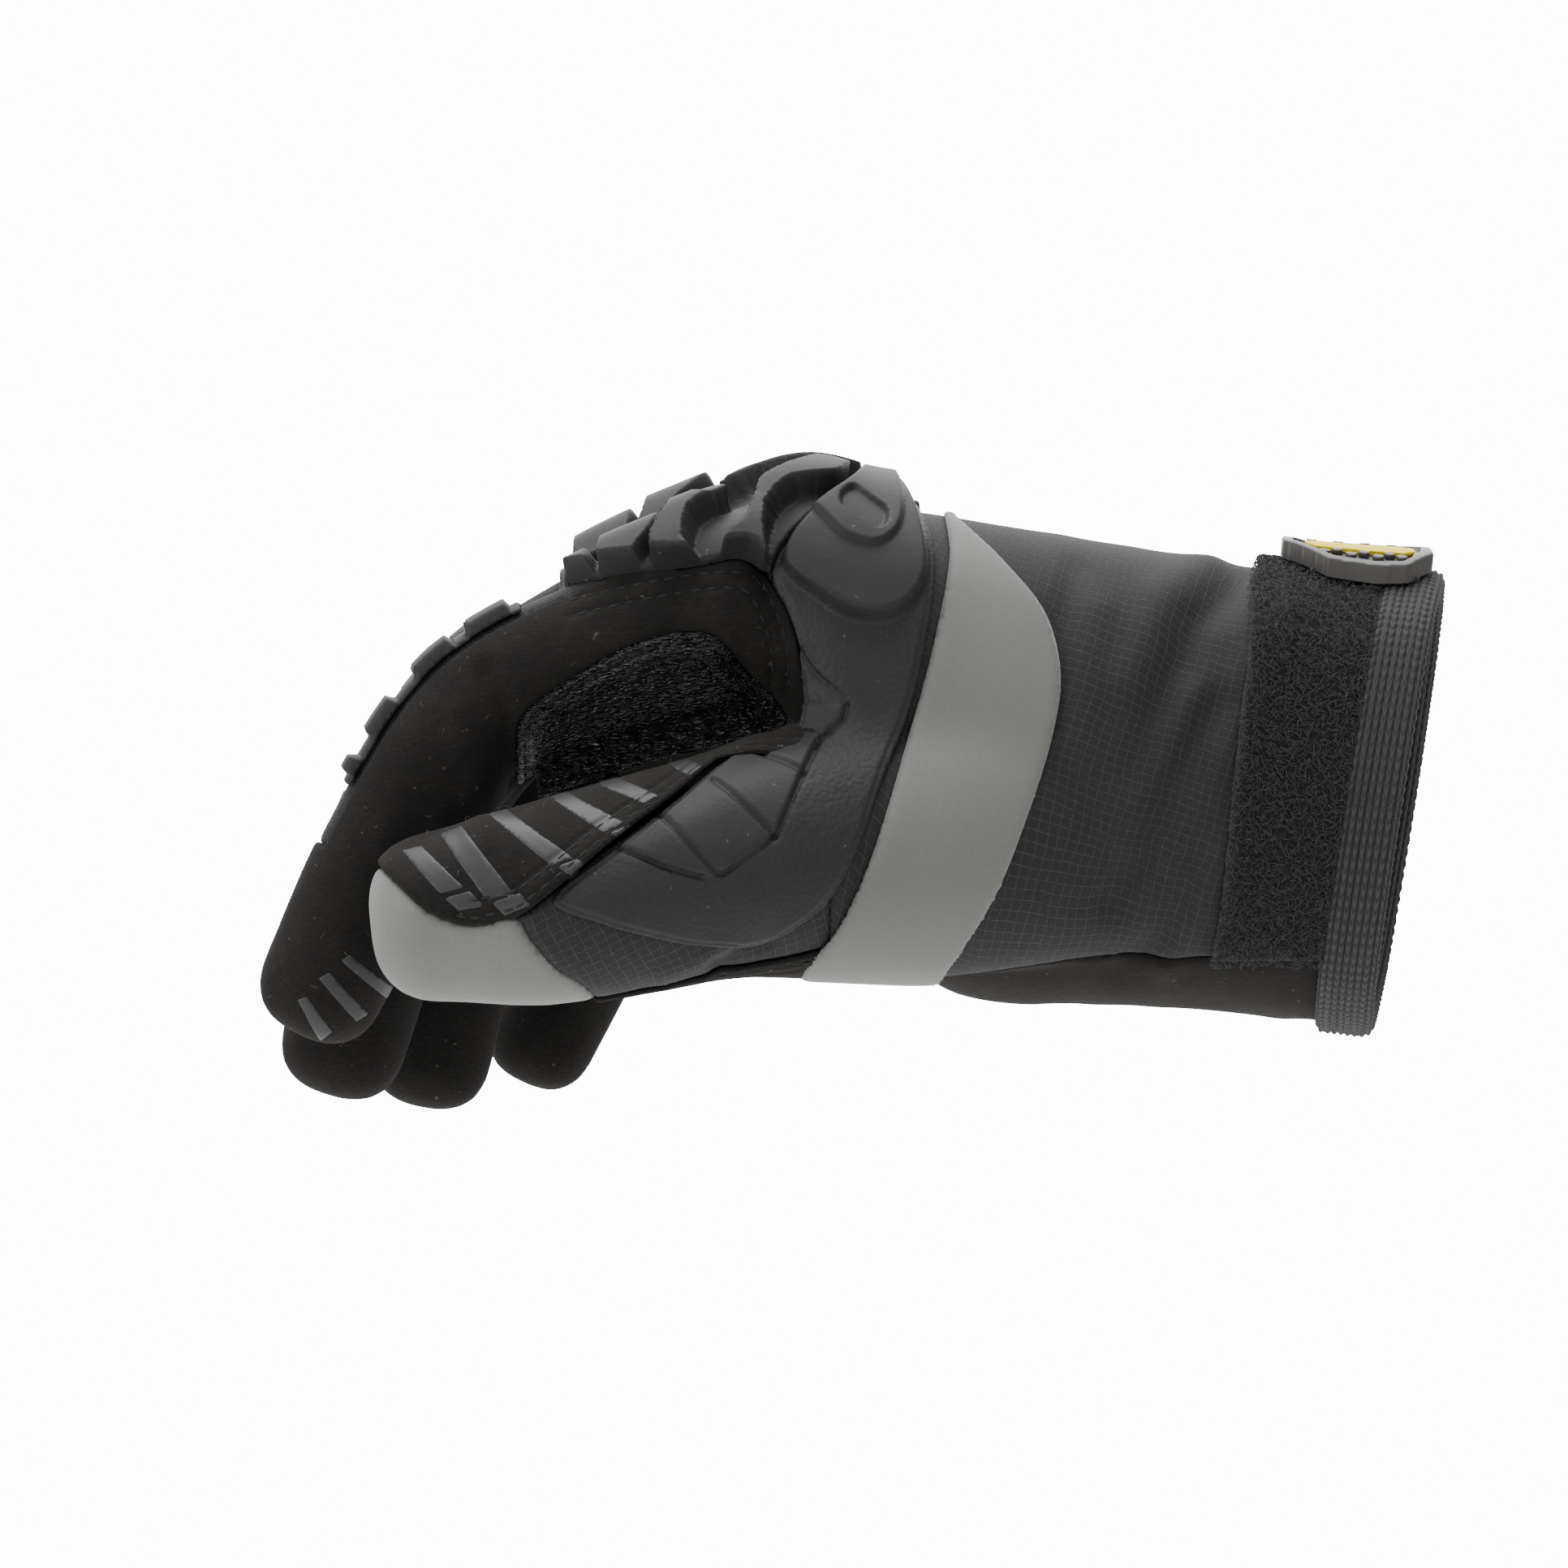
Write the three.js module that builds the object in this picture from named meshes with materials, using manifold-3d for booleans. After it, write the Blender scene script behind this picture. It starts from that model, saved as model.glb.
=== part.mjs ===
// Mechanic glove for a right hand, as it is worn, in millimetres.
// The origin is the centre of the cuff opening. +X runs up the forearm, +Z to the back of the
// hand and -Y to the thumb side.
import * as THREE from 'three'
import { LoftGeometry } from 'three/addons/geometries/LoftGeometry.js'
import { mergeVertices } from 'three/addons/utils/BufferGeometryUtils.js'
import Module from 'manifold-3d'

const wasm = await Module()
wasm.setup()

// Driving sizes of the hand
const PALM_LENGTH = 100        // cuff opening to the knuckles
const PALM_WIDTH = 80          // thumb side to little finger side
const PALM_HEIGHT = 80         // back of the hand to the ball of the thumb
const INDEX_LENGTH = 100
const MIDDLE_LENGTH = 111
const RING_LENGTH = 103
const LITTLE_LENGTH = 78
const THUMB_LENGTH = 111
const FINGER_WIDTH = 21.4      // across a finger, side to side
const FINGER_DEPTH = 25        // back of a finger to its pad
const THUMB_WIDTH = 33
const THUMB_DEPTH = 34
const CUFF_LEAN = 9            // degrees that the opening leans back towards the forearm at the top
const CUFF_TURN = 6            // degrees that the opening turns towards the little finger side

// Driving sizes of the layers
const WALL = 1.4               // suede and ripstop
const GAP = 0.3                // clearance between neighbouring pieces
const SEAM = 0.5               // clearance between panels of one layer
const BAND_WALL = 1.1          // grey crescent panel
const LOOP_WALL = 1.5          // hook and loop field
const BINDING_WALL = 1.3       // each leg of the knitted binding
const BINDING_WIDTH = 7.4
const STRAP_WALL = 1.1
const STRAP_WIDTH = 18
const STRAP_START = 2          // strap's edge from the cuff opening
const STRAP_END = -0.16        // share of the palm's width where the strap ends, thumb side
const TAB_WALL = 1.2
const TAB_LENGTH = 25
const TAB_WIDTH = 18
const TAB_RIM = 1.7            // width of the raised rim
const TAB_RIM_RISE = 0.9       // rim above the floor of the tab
const STUD_WIDTH = 1.8
const STUD_RISE = 0.8
const INLAY_WALL = 0.5
const GUARD_WALL = 1.6         // base of the moulded rubber
const DOME_RISE = 4.6          // dome of the thumb guard above its base
const LEAF_RISE = 0.9          // leaf facets above the thumb guard's base
const PILL_LENGTH = 10
const PILL_WIDTH = 3.6
const PILL_DEPTH = 0.8         // empty recess in the dome
const RIB_RISE = 5.4           // knuckle ribs above the guard's base
const BLOCK_RISE = 2.4         // finger blocks above the cloth
const STRIP_RISE = 0.9         // strip that joins the finger blocks

const PALM_SIDES = 22
const DIGIT_SIDES = 12
const STEPS_PER_PART = 1.5
const FEW_SIDES_SHARE = 0.7    // the inside of the cloth and tall rubber take fewer sides
const TALL_GROW = 6            // surfaces further out than this count as tall rubber
const SLIVER = 0.04            // a cut's edges closer than this are merged
const FAR = 300                // reach of the cutting blocks, past every piece

// Palm sections. at is along the palm, y across it and z up, as shares of the palm's length,
// width and height. near, far, top and bottom are the half sizes, and the last four say how full
// each corner is: 0.71 is an ellipse.
const PALM = [
  { at: 0.12, y: 0, z: -0.02, near: 0.385, far: 0.38, top: 0.47, bottom: 0.485,
    nearTop: 0.74, farTop: 0.74, farBottom: 0.74, nearBottom: 0.74 },
  { at: -0.17, y: 0, z: 0.01, near: 0.405, far: 0.395, top: 0.465, bottom: 0.465,
    nearTop: 0.75, farTop: 0.74, farBottom: 0.73, nearBottom: 0.74 },
  { at: -0.5, y: 0, z: 0.056, near: 0.46, far: 0.47, top: 0.48, bottom: 0.48,
    nearTop: 0.76, farTop: 0.73, farBottom: 0.64, nearBottom: 0.73 },
  { at: -0.71, y: 0, z: 0.09, near: 0.49, far: 0.54, top: 0.49, bottom: 0.5,
    nearTop: 0.77, farTop: 0.73, farBottom: 0.5, nearBottom: 0.72 },
  { at: -0.88, y: -0.03, z: 0.19, near: 0.49, far: 0.6, top: 0.42, bottom: 0.47,
    nearTop: 0.78, farTop: 0.72, farBottom: 0.4, nearBottom: 0.66 },
  { at: -1.02, y: 0, z: 0.37, near: 0.47, far: 0.6, top: 0.26, bottom: 0.25,
    nearTop: 0.8, farTop: 0.7, farBottom: 0.66, nearBottom: 0.78 },
  { at: -1.15, y: 0.02, z: 0.33, near: 0.43, far: 0.52, top: 0.22, bottom: 0.19,
    nearTop: 0.8, farTop: 0.68, farBottom: 0.66, nearBottom: 0.78 },
]

// Sections of the fold of leather between thumb and index, in the same shares. lean is how far
// its top tips away from the thumb, in degrees.
const WEB = [
  { at: -0.8, y: -0.25, z: 0.12, wide: 0.22, deep: 0.34, lean: 5 },
  { at: -1.1, y: -0.27, z: 0.1, wide: 0.14, deep: 0.3, lean: 20 },
  { at: -1.3, y: -0.3, z: 0.05, wide: 0.1, deep: 0.25, lean: 28 },
  { at: -1.42, y: -0.34, z: 0.03, wide: 0.07, deep: 0.2, lean: 32 },
]

// Digits. begins is the share of the palm's length where the digit's own pieces start, root
// is its first joint, a share of the palm, parts are shares of the digit's length, drops are degrees
// below level and turns are degrees towards the thumb side. deep and wide are shares of the
// girth at each joint, and bulk scales them.
const FINGER_DEEP = [1.16, 1, 0.96, 0.87, 0.8]
const FINGER_WIDE = [1.02, 1, 0.98, 0.95, 0.86]
const DIGITS = [
  { name: 'index', length: INDEX_LENGTH, begins: -1.2, bulk: 1, root: { x: -1.066, y: -0.345, z: 0.404 },
    parts: [0.24, 0.25, 0.28, 0.23], drops: [18, 27, 55, 64], turns: [-1, -1, -1, -2],
    deep: FINGER_DEEP, wide: FINGER_WIDE },
  { name: 'middle', length: MIDDLE_LENGTH, begins: -1.2, bulk: 1, root: { x: -1.053, y: -0.05, z: 0.455 },
    parts: [0.23, 0.26, 0.29, 0.22], drops: [20, 34, 62, 73], turns: [0, 0, 0, 0],
    deep: FINGER_DEEP, wide: FINGER_WIDE },
  { name: 'ring', length: RING_LENGTH, begins: -1.19, bulk: 0.97, root: { x: -1.047, y: 0.235, z: 0.428 },
    parts: [0.23, 0.27, 0.27, 0.23], drops: [28, 37, 71, 78], turns: [1, 2, 2, 2],
    deep: FINGER_DEEP, wide: FINGER_WIDE },
  { name: 'little', length: LITTLE_LENGTH, begins: -1.13, bulk: 0.88, root: { x: -1.068, y: 0.5, z: 0.338 },
    parts: [0.21, 0.23, 0.29, 0.27], drops: [50, 57, 70, 65], turns: [4, 3, 2, 2],
    deep: FINGER_DEEP, wide: FINGER_WIDE },
  { name: 'thumb', length: THUMB_LENGTH, begins: -0.95, bulk: 1,
    root: { x: -0.52, y: -0.25, z: -0.03 },
    parts: [0.265, 0.315, 0.28, 0.14], drops: [9, 6, 12, 7], turns: [17, 23, 11, 0],
    deep: [1.4, 1.32, 1.03, 0.95, 0.8], wide: [0.9, 1.2, 1.03, 0.94, 0.79] },
]

// Outlines seen from the thumb side: shares of the palm's length and height.
const INDEX_SIDE = [[-0.99, 0.14], [-1.0, 0.3], [-1.02, 0.39], [-1.06, 0.46], [-1.1, 0.485],
  [-1.17, 0.47], [-1.3, 0.45], [-1.3, 0.14]]
const PATCH = [[-1.46, 0.12], [-1.45, 0.17], [-1.36, 0.255], [-1.28, 0.31], [-1.2, 0.34],
  [-1.14, 0.335], [-1.1, 0.285], [-1.02, 0.158], [-1.11, 0.117], [-1.27, 0.067], [-1.38, 0.018],
  [-1.45, -0.01]]
// Leather under the patch, where the fold meets the thumb
const WEB_UNDER = [[-1.47, 0.06], [-1.0, 0.12], [-1.0, -0.2], [-1.47, -0.2]]
const WEB_UNDER_NEAR = -0.46
const THUMB_SUEDE = [[-0.99, 0.15], [-1.11, 0.086], [-1.2, 0], [-1.39, -0.18], [-1.455, -0.235],
  [-1.515, -0.25], [-1.58, -0.23], [-1.69, -0.12], [-1.8, -0.05], [-1.8, 0.3], [-0.9, 0.3]]
const THUMB_TIP = [[-1.8, -0.05], [-1.69, -0.12], [-1.58, -0.23], [-1.515, -0.25],
  [-1.455, -0.235], [-1.43, -0.28], [-1.39, -0.34], [-1.34, -0.385], [-1.3, -0.5], [-1.8, -0.5]]
const BAND = [[-0.759, 0.56], [-0.757, 0.49], [-0.787, 0.3], [-0.817, 0.16], [-0.853, 0.01],
  [-0.9, -0.155], [-0.943, -0.26], [-1, -0.355], [-0.8, -0.41], [-0.77, -0.36], [-0.69, -0.2],
  [-0.636, -0.04], [-0.588, 0.14], [-0.576, 0.256], [-0.6, 0.375], [-0.664, 0.478]]
const GUARD = [[-0.799, 0.572], [-0.781, 0.48], [-0.802, 0.287], [-0.832, 0.142], [-0.872, 0.02],
  [-0.913, -0.109], [-0.958, -0.202], [-1.003, -0.246], [-1.068, -0.281], [-1.154, -0.287],
  [-1.244, -0.268], [-1.315, -0.246], [-1.406, -0.199], [-1.387, -0.182], [-1.295, -0.095],
  [-1.203, -0.005], [-1.112, 0.08], [-0.995, 0.141], [-1, 0.305], [-1.017, 0.379],
  [-1.046, 0.456], [-1, 0.543], [-0.928, 0.616], [-0.869, 0.653], [-0.823, 0.633]]
const DOME = [[-1.03, 0.466], [-1, 0.545], [-0.94, 0.615], [-0.87, 0.66], [-0.838, 0.634],
  [-0.803, 0.535], [-0.795, 0.437], [-0.82, 0.379], [-0.862, 0.35], [-0.92, 0.357],
  [-0.975, 0.405]]
const PILL = { x: -0.927, z: 0.545, tilt: -30 }    // middle of the recess and its degrees up
const LEAVES = [
  [[-0.988, 0.19], [-0.925, 0.188], [-0.93, 0.162], [-0.952, 0.135], [-0.98, 0.142]],
  [[-1.06, 0.094], [-0.992, 0.126], [-0.958, 0.118], [-0.998, 0.046], [-1.038, 0.072]],
  [[-1.136, 0.03], [-1.068, 0.08], [-1.008, 0.036], [-1.043, -0.064], [-1.09, -0.024]],
  [[-1.216, -0.034], [-1.144, 0.021], [-1.057, -0.077], [-1.09, -0.12], [-1.138, -0.13]],
  [[-1.284, -0.097], [-1.224, -0.046], [-1.162, -0.13], [-1.224, -0.13]],
]
const LOOP_EDGE = [[-0.2, 0.9], [-0.234, 0.488], [-0.257, 0.422], [-0.267, 0.306],
  [-0.287, 0.141], [-0.3, -0.024], [-0.313, -0.189], [-0.331, -0.383], [0.3, -0.36], [0.3, 0.9]]

// Knuckle ribs, seen from the thumb side: foot and crest of each side, in the same shares.
const RIBS = [
  [[-1.38, 0.38], [-1.354, 0.471], [-1.312, 0.51], [-1.325, 0.45], [-1.332, 0.38]],
  [[-1.325, 0.38], [-1.307, 0.471], [-1.244, 0.569], [-1.229, 0.579], [-1.255, 0.504],
    [-1.263, 0.38]],
  [[-1.238, 0.4], [-1.224, 0.528], [-1.178, 0.611], [-1.133, 0.663], [-1.105, 0.685],
    [-1.121, 0.652], [-1.16, 0.58], [-1.162, 0.4]],
  [[-1.133, 0.4], [-1.112, 0.578], [-1.079, 0.635], [-1.033, 0.695], [-0.97, 0.703],
    [-0.9, 0.68], [-0.967, 0.655], [-1.013, 0.63], [-1.046, 0.58], [-1.055, 0.4]],
]
const KNUCKLES = { from: -1.38, to: -0.86, near: -0.5, far: 0.64 }

// Each knuckle's ribs: their sides across the hand, and how far they sit ahead of the index's
// and below them
const KNUCKLE_RIBS = [
  { from: -0.6, to: -0.2, ahead: 0, drop: 0 },
  { from: -0.16, to: 0.08, ahead: 0.045, drop: 0.03 },
  { from: 0.12, to: 0.36, ahead: 0.02, drop: 0.03 },
  { from: 0.4, to: 0.7, ahead: -0.04, drop: 0.08 },
]

// Planes under which the palm's leather and the knuckle guard's edge lie.
const PALM_SEAM = { near: { y: -0.38, z: -0.37 }, far: { y: 0.56, z: 0.19 } }
const KNUCKLE_SEAM = { near: { y: -0.45, z: 0.42 }, far: { y: 0.6, z: 0.2 } }
// Front of the palm, under the finger roots
const PALM_FRONT = [[-0.74, -0.6], [-0.76, -0.2], [-0.86, 0.1], [-0.98, 0.28], [-1.3, 0.36],
  [-1.3, -0.6]]
const PALM_FRONT_NEAR = -0.36
const GUARD_REACH = -0.09      // how far over the back the thumb side's pieces reach
const THUMB_INSIDE = { x: -0.7, y: -0.4, z: 0.06 }

// Tab seen from above, and its coloured bar, as shares of the tab's length and width.
const TAB_CENTRE = { x: -0.079, y: -0.075 }
const TAB = [[-0.5, -0.06], [-0.22, -0.46], [0.1, -0.5], [0.32, -0.44], [0.5, -0.1], [0.5, 0.3],
  [0.3, 0.5], [-0.36, 0.5], [-0.5, 0.28]]
const INLAY = [[-0.36, -0.08], [-0.3, -0.16], [0.3, -0.16], [0.38, -0.08], [0.38, 0.02],
  [0.3, 0.1], [-0.3, 0.1], [-0.36, 0.02]]

// Blocks on the back of each finger, as shares of its length, and the arc they cover.
const BLOCKS = [
  { from: 0.37, to: 0.44 },
  { from: 0.455, to: 0.52 },
  { from: 0.555, to: 0.62 },
  { from: 0.65, to: 0.685 },
]
const BLOCK_ARC = 52           // degrees each side of the finger's back

// Tab studs, in the same shares.
const STUDS = [[-0.24, -0.27], [-0.06, -0.29], [0.12, -0.29], [0.28, -0.26],
  [-0.3, 0.22], [-0.12, 0.24], [0.06, 0.24], [0.24, 0.22]]

function solid(geometry) {
  const bare = new THREE.BufferGeometry().copy(geometry)
  bare.deleteAttribute('normal')
  bare.deleteAttribute('uv')
  const shape = mergeVertices(bare, 1e-4)
  const index = shape.index.array
  const mesh = new wasm.Mesh({
    numProp: 3,
    vertProperties: new Float32Array(shape.attributes.position.array),
    triVerts: new Uint32Array(index),
  })
  return new wasm.Manifold(mesh)
}

function joined(solids) {
  return solids.reduce((whole, next) => whole.add(next))
}

function middle(points) {
  const sum = points.reduce((total, point) => total.add(point), new THREE.Vector3())
  return sum.divideScalar(points.length)
}

// Loft through closed rings of points, turned so that its faces point out.
function loft(rings) {
  const centre = middle(rings[0])
  const facing = new THREE.Vector3()
  rings[0].forEach((point, k) => {
    const next = rings[0][(k + 1) % rings[0].length]
    facing.add(point.clone().sub(centre).cross(next.clone().sub(centre)))
  })
  const forward = facing.dot(middle(rings[1]).sub(centre)) > 0
  const turned = forward ? rings : rings.map((points) => [...points].reverse())
  return solid(new LoftGeometry(turned, { closed: true, capStart: true, capEnd: true }))
}

function sidesOf(sides, grow) {
  return grow < 0 || grow > TALL_GROW ? Math.round(sides * FEW_SIDES_SHARE) : sides
}

// One palm section, grown outwards by grow.
function palmRing(row, grow, end) {
  const x = row.at * PALM_LENGTH + end
  const y = row.y * PALM_WIDTH
  const z = row.z * PALM_HEIGHT
  const near = -row.near * PALM_WIDTH
  const far = row.far * PALM_WIDTH
  const top = row.top * PALM_HEIGHT
  const bottom = -row.bottom * PALM_HEIGHT
  const corners = [
    [near, 0], [near * row.nearTop, top * row.nearTop], [0, top],
    [far * row.farTop, top * row.farTop], [far, 0],
    [far * row.farBottom, bottom * row.farBottom], [0, bottom],
    [near * row.nearBottom, bottom * row.nearBottom],
  ]
  const curve = new THREE.CatmullRomCurve3(
    corners.map(([across, up]) => new THREE.Vector3(x, y + across, z + up)), true, 'centripetal')
  const sides = sidesOf(PALM_SIDES, grow)
  return Array.from({ length: sides }, (_, k) => {
    const along = k / sides
    const tangent = curve.getTangent(along)
    const outward = new THREE.Vector3(0, -tangent.z, tangent.y)
    return curve.getPoint(along).addScaledVector(outward, grow)
  })
}

function palmLoft(grow) {
  const last = PALM.length - 1
  return loft(PALM.map((row, k) => palmRing(row, grow, k === last ? -grow : 0)))
}

// Ring of points round a centre line, square to its direction.
function ring(centre, along, wide, deep, sides) {
  const side = new THREE.Vector3(0, 1, 0).addScaledVector(along, -along.y).normalize()
  const up = new THREE.Vector3().crossVectors(side, along).normalize()
  return Array.from({ length: sides }, (_, k) => {
    const turn = (2 * Math.PI * k) / sides
    return centre.clone().addScaledVector(side, wide * Math.cos(turn))
      .addScaledVector(up, deep * Math.sin(turn))
  })
}

function webLoft(grow) {
  const last = WEB.length - 1
  const along = new THREE.Vector3(-1, 0, 0)
  return loft(WEB.map((row, k) => {
    const x = row.at * PALM_LENGTH - (k === last ? grow : 0)
    const centre = new THREE.Vector3(x, row.y * PALM_WIDTH, row.z * PALM_HEIGHT)
    const wide = row.wide * PALM_WIDTH + grow
    const deep = row.deep * PALM_HEIGHT + grow
    const lean = THREE.MathUtils.degToRad(row.lean)
    return ring(new THREE.Vector3(), along, wide, deep, sidesOf(DIGIT_SIDES, grow))
      .map((point) => point.applyAxisAngle(along, lean).add(centre))
  }))
}

// Centre line and half sizes of a digit at a share of its joints' count.
function digitLine(digit) {
  const joint = new THREE.Vector3(
    digit.root.x * PALM_LENGTH, digit.root.y * PALM_WIDTH, digit.root.z * PALM_HEIGHT)
  const joints = [joint.clone()]
  digit.parts.forEach((part, k) => {
    const drop = THREE.MathUtils.degToRad(digit.drops[k])
    const turn = THREE.MathUtils.degToRad(digit.turns[k])
    const step = new THREE.Vector3(
      -Math.cos(drop) * Math.cos(turn), -Math.cos(drop) * Math.sin(turn), -Math.sin(drop))
    joint.addScaledVector(step, part * digit.length)
    joints.push(joint.clone())
  })
  return new THREE.CatmullRomCurve3(joints)
}

function girth(digit, along) {
  const thumb = digit.name === 'thumb'
  const place = along * digit.parts.length
  const k = Math.min(Math.floor(place), digit.parts.length - 1)
  const mix = place - k
  const blend = (row) => row[k] * (1 - mix) + row[k + 1] * mix
  return {
    wide: 0.5 * (thumb ? THUMB_WIDTH : FINGER_WIDTH) * digit.bulk * blend(digit.wide),
    deep: 0.5 * (thumb ? THUMB_DEPTH : FINGER_DEPTH) * digit.bulk * blend(digit.deep),
  }
}

const TIP_TURNS = [36, 68]     // degrees at which the round tip's rings lie

function digitLoft(digit, grow) {
  const line = digitLine(digit)
  const steps = Math.ceil(digit.parts.length * STEPS_PER_PART)
  const sides = sidesOf(DIGIT_SIDES, grow)
  const rings = Array.from({ length: steps + 1 }, (_, k) => {
    const size = girth(digit, k / steps)
    return ring(line.getPoint(k / steps), line.getTangent(k / steps),
      size.wide + grow, size.deep + grow, sides)
  })
  const tip = girth(digit, 1)
  const along = line.getTangent(1)
  for (const degrees of TIP_TURNS) {
    const turn = THREE.MathUtils.degToRad(degrees)
    const centre = line.getPoint(1).addScaledVector(along, Math.sin(turn) * (tip.wide + grow))
    rings.push(ring(centre, along, Math.cos(turn) * (tip.wide + grow),
      Math.cos(turn) * (tip.deep + grow), sides))
  }
  return loft(rings)
}

// The whole hand, grown outwards by grow.
const hands = new Map()
function hand(grow) {
  const key = grow.toFixed(3)
  if (!hands.has(key)) {
    hands.set(key, joined([palmLoft(grow), webLoft(grow),
      ...DIGITS.map((digit) => digitLoft(digit, grow))]))
  }
  return hands.get(key)
}

function layer(from, to) {
  return hand(to).subtract(hand(from))
}

function block(lowX, highX, lowY, highY, lowZ, highZ) {
  const box = new THREE.BoxGeometry(highX - lowX, highY - lowY, highZ - lowZ)
  box.translate((lowX + highX) / 2, (lowY + highY) / 2, (lowZ + highZ) / 2)
  return solid(box)
}

// Space between two planes parallel to the cuff opening, at these distances along its normal.
function cuffSlab(from, to) {
  const lean = THREE.MathUtils.degToRad(CUFF_LEAN)
  const turn = THREE.MathUtils.degToRad(CUFF_TURN)
  const normal = new THREE.Vector3(1, -Math.tan(turn), -Math.tan(lean)).normalize()
  const box = new THREE.BoxGeometry(to - from, 2 * FAR, 2 * FAR)
  box.translate((from + to) / 2, 0, 0)
  box.applyQuaternion(new THREE.Quaternion().setFromUnitVectors(new THREE.Vector3(1, 0, 0), normal))
  return solid(box)
}

// Outline grown outwards by grow, in millimetres.
function outline(points, grow) {
  const flat = points.map(([x, z]) => new THREE.Vector2(x * PALM_LENGTH, z * PALM_HEIGHT))
  const turnSign = Math.sign(THREE.ShapeUtils.area(flat))
  const count = flat.length
  return flat.map((point, k) => {
    const before = point.clone().sub(flat[(k + count - 1) % count]).normalize()
    const after = flat[(k + 1) % count].clone().sub(point).normalize()
    const bisector = before.clone().add(after).normalize()
    const outward = new THREE.Vector2(bisector.y, -bisector.x).multiplyScalar(turnSign)
    const miter = Math.max(0.5, Math.abs(bisector.dot(before)))
    return point.clone().addScaledVector(outward, grow / miter)
  })
}

// Prism across the hand through corners seen from the thumb side, in millimetres.
function acrossHand(corners, nearY, farY) {
  const shape = new THREE.Shape(corners)
  const prism = new THREE.ExtrudeGeometry(shape, { depth: farY - nearY, bevelEnabled: false })
  prism.rotateX(Math.PI / 2)
  prism.translate(0, farY, 0)
  return solid(prism)
}

function sidePrism(points, nearY, farY, grow = 0) {
  return acrossHand(outline(points, grow), nearY, farY)
}

// Corners of the round ended recess in the dome.
function pillCorners() {
  const centre = new THREE.Vector2(PILL.x * PALM_LENGTH, PILL.z * PALM_HEIGHT)
  const round = PILL_WIDTH / 2
  const straight = PILL_LENGTH / 2 - round
  const count = 12
  return Array.from({ length: count }, (_, k) => {
    const turn = (2 * Math.PI * (k + 0.5)) / count
    const along = Math.cos(turn) * round + Math.sign(Math.cos(turn)) * straight
    return new THREE.Vector2(along, Math.sin(turn) * round).add(centre)
      .rotateAround(centre, THREE.MathUtils.degToRad(PILL.tilt))
  })
}

// Arc band along the back of a digit, from one share of its length to another.
function backBand(digit, rows, arc) {
  const line = digitLine(digit)
  const half = THREE.MathUtils.degToRad(arc)
  const spans = 3
  const swell = 1 / Math.cos(half / spans)    // keeps the arc's flats clear of the round finger
  return loft(rows.map(({ at, inner, outer }) => {
    const along = line.getTangent(at)
    const centre = line.getPoint(at)
    const size = girth(digit, at)
    const side = new THREE.Vector3(0, 1, 0).addScaledVector(along, -along.y).normalize()
    const up = new THREE.Vector3().crossVectors(along, side).normalize()
    if (up.z < 0) up.negate()
    const arcPoint = (turn, rise) => centre.clone()
      .addScaledVector(side, (size.wide + rise) * swell * Math.sin(turn))
      .addScaledVector(up, (size.deep + rise) * swell * Math.cos(turn))
    const points = []
    for (let k = 0; k <= spans; k++) points.push(arcPoint(-half + (2 * half * k) / spans, outer))
    for (let k = spans; k >= 0; k--) points.push(arcPoint(-half + (2 * half * k) / spans, inner))
    return points
  }))
}

// The largest body of a cut piece, without the slivers left at a cut's edge.
function whole(piece) {
  const bodies = piece.simplify(SLIVER).decompose()
  return bodies.reduce((best, next) => (next.volume() > best.volume() ? next : best))
}

const group = new THREE.Group()

function add(name, piece, color, roughness) {
  const mesh = whole(piece).getMesh()
  const geometry = new THREE.BufferGeometry()
  geometry.setAttribute('position', new THREE.BufferAttribute(mesh.vertProperties, 3))
  geometry.setIndex(new THREE.BufferAttribute(mesh.triVerts, 1))
  geometry.computeVertexNormals()
  const material = new THREE.MeshStandardMaterial({ color, roughness, metalness: 0 })
  const node = new THREE.Mesh(geometry, material)
  node.name = name
  group.add(node)
}

const SUEDE = 0x24211e
const RIPSTOP = 0x2c2c2d
const RUBBER = 0x424344
const GREY = 0x7a7c78

// Base layer of cloth and leather, cut off at the cuff
const skin = layer(-WALL, 0).intersect(cuffSlab(-FAR, 0))
const thumb = DIGITS.find((digit) => digit.name === 'thumb')
const fingers = DIGITS.filter((digit) => digit !== thumb)

function digitZone(digit, grow) {
  const root = digit.begins * PALM_LENGTH + grow
  return digitLoft(digit, 0.6).intersect(block(-FAR, root, -FAR, FAR, -FAR, FAR))
}

const thumbZone = (grow) => digitZone(thumb, grow)
  .intersect(block(-FAR, FAR, -FAR, -0.33 * PALM_WIDTH + grow, -FAR, FAR))
const patchZone = (grow) => sidePrism(PATCH, -FAR, -0.06 * PALM_WIDTH + grow, grow)
  .add(sidePrism(WEB_UNDER, WEB_UNDER_NEAR * PALM_WIDTH - grow, -0.06 * PALM_WIDTH + grow, grow)
    .subtract(digitLoft(thumb, 0.6 + SEAM - grow)))
const indexSideZone = (grow) => sidePrism(INDEX_SIDE, -FAR, -0.2 * PALM_WIDTH + grow, grow)

let rest = skin
function take(zone, grownZone) {
  const piece = rest.intersect(zone)
  rest = rest.subtract(grownZone)
  return piece
}

const patch = take(patchZone(0), patchZone(SEAM))
add('crotch_patch', patch, SUEDE, 0.8)

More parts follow.
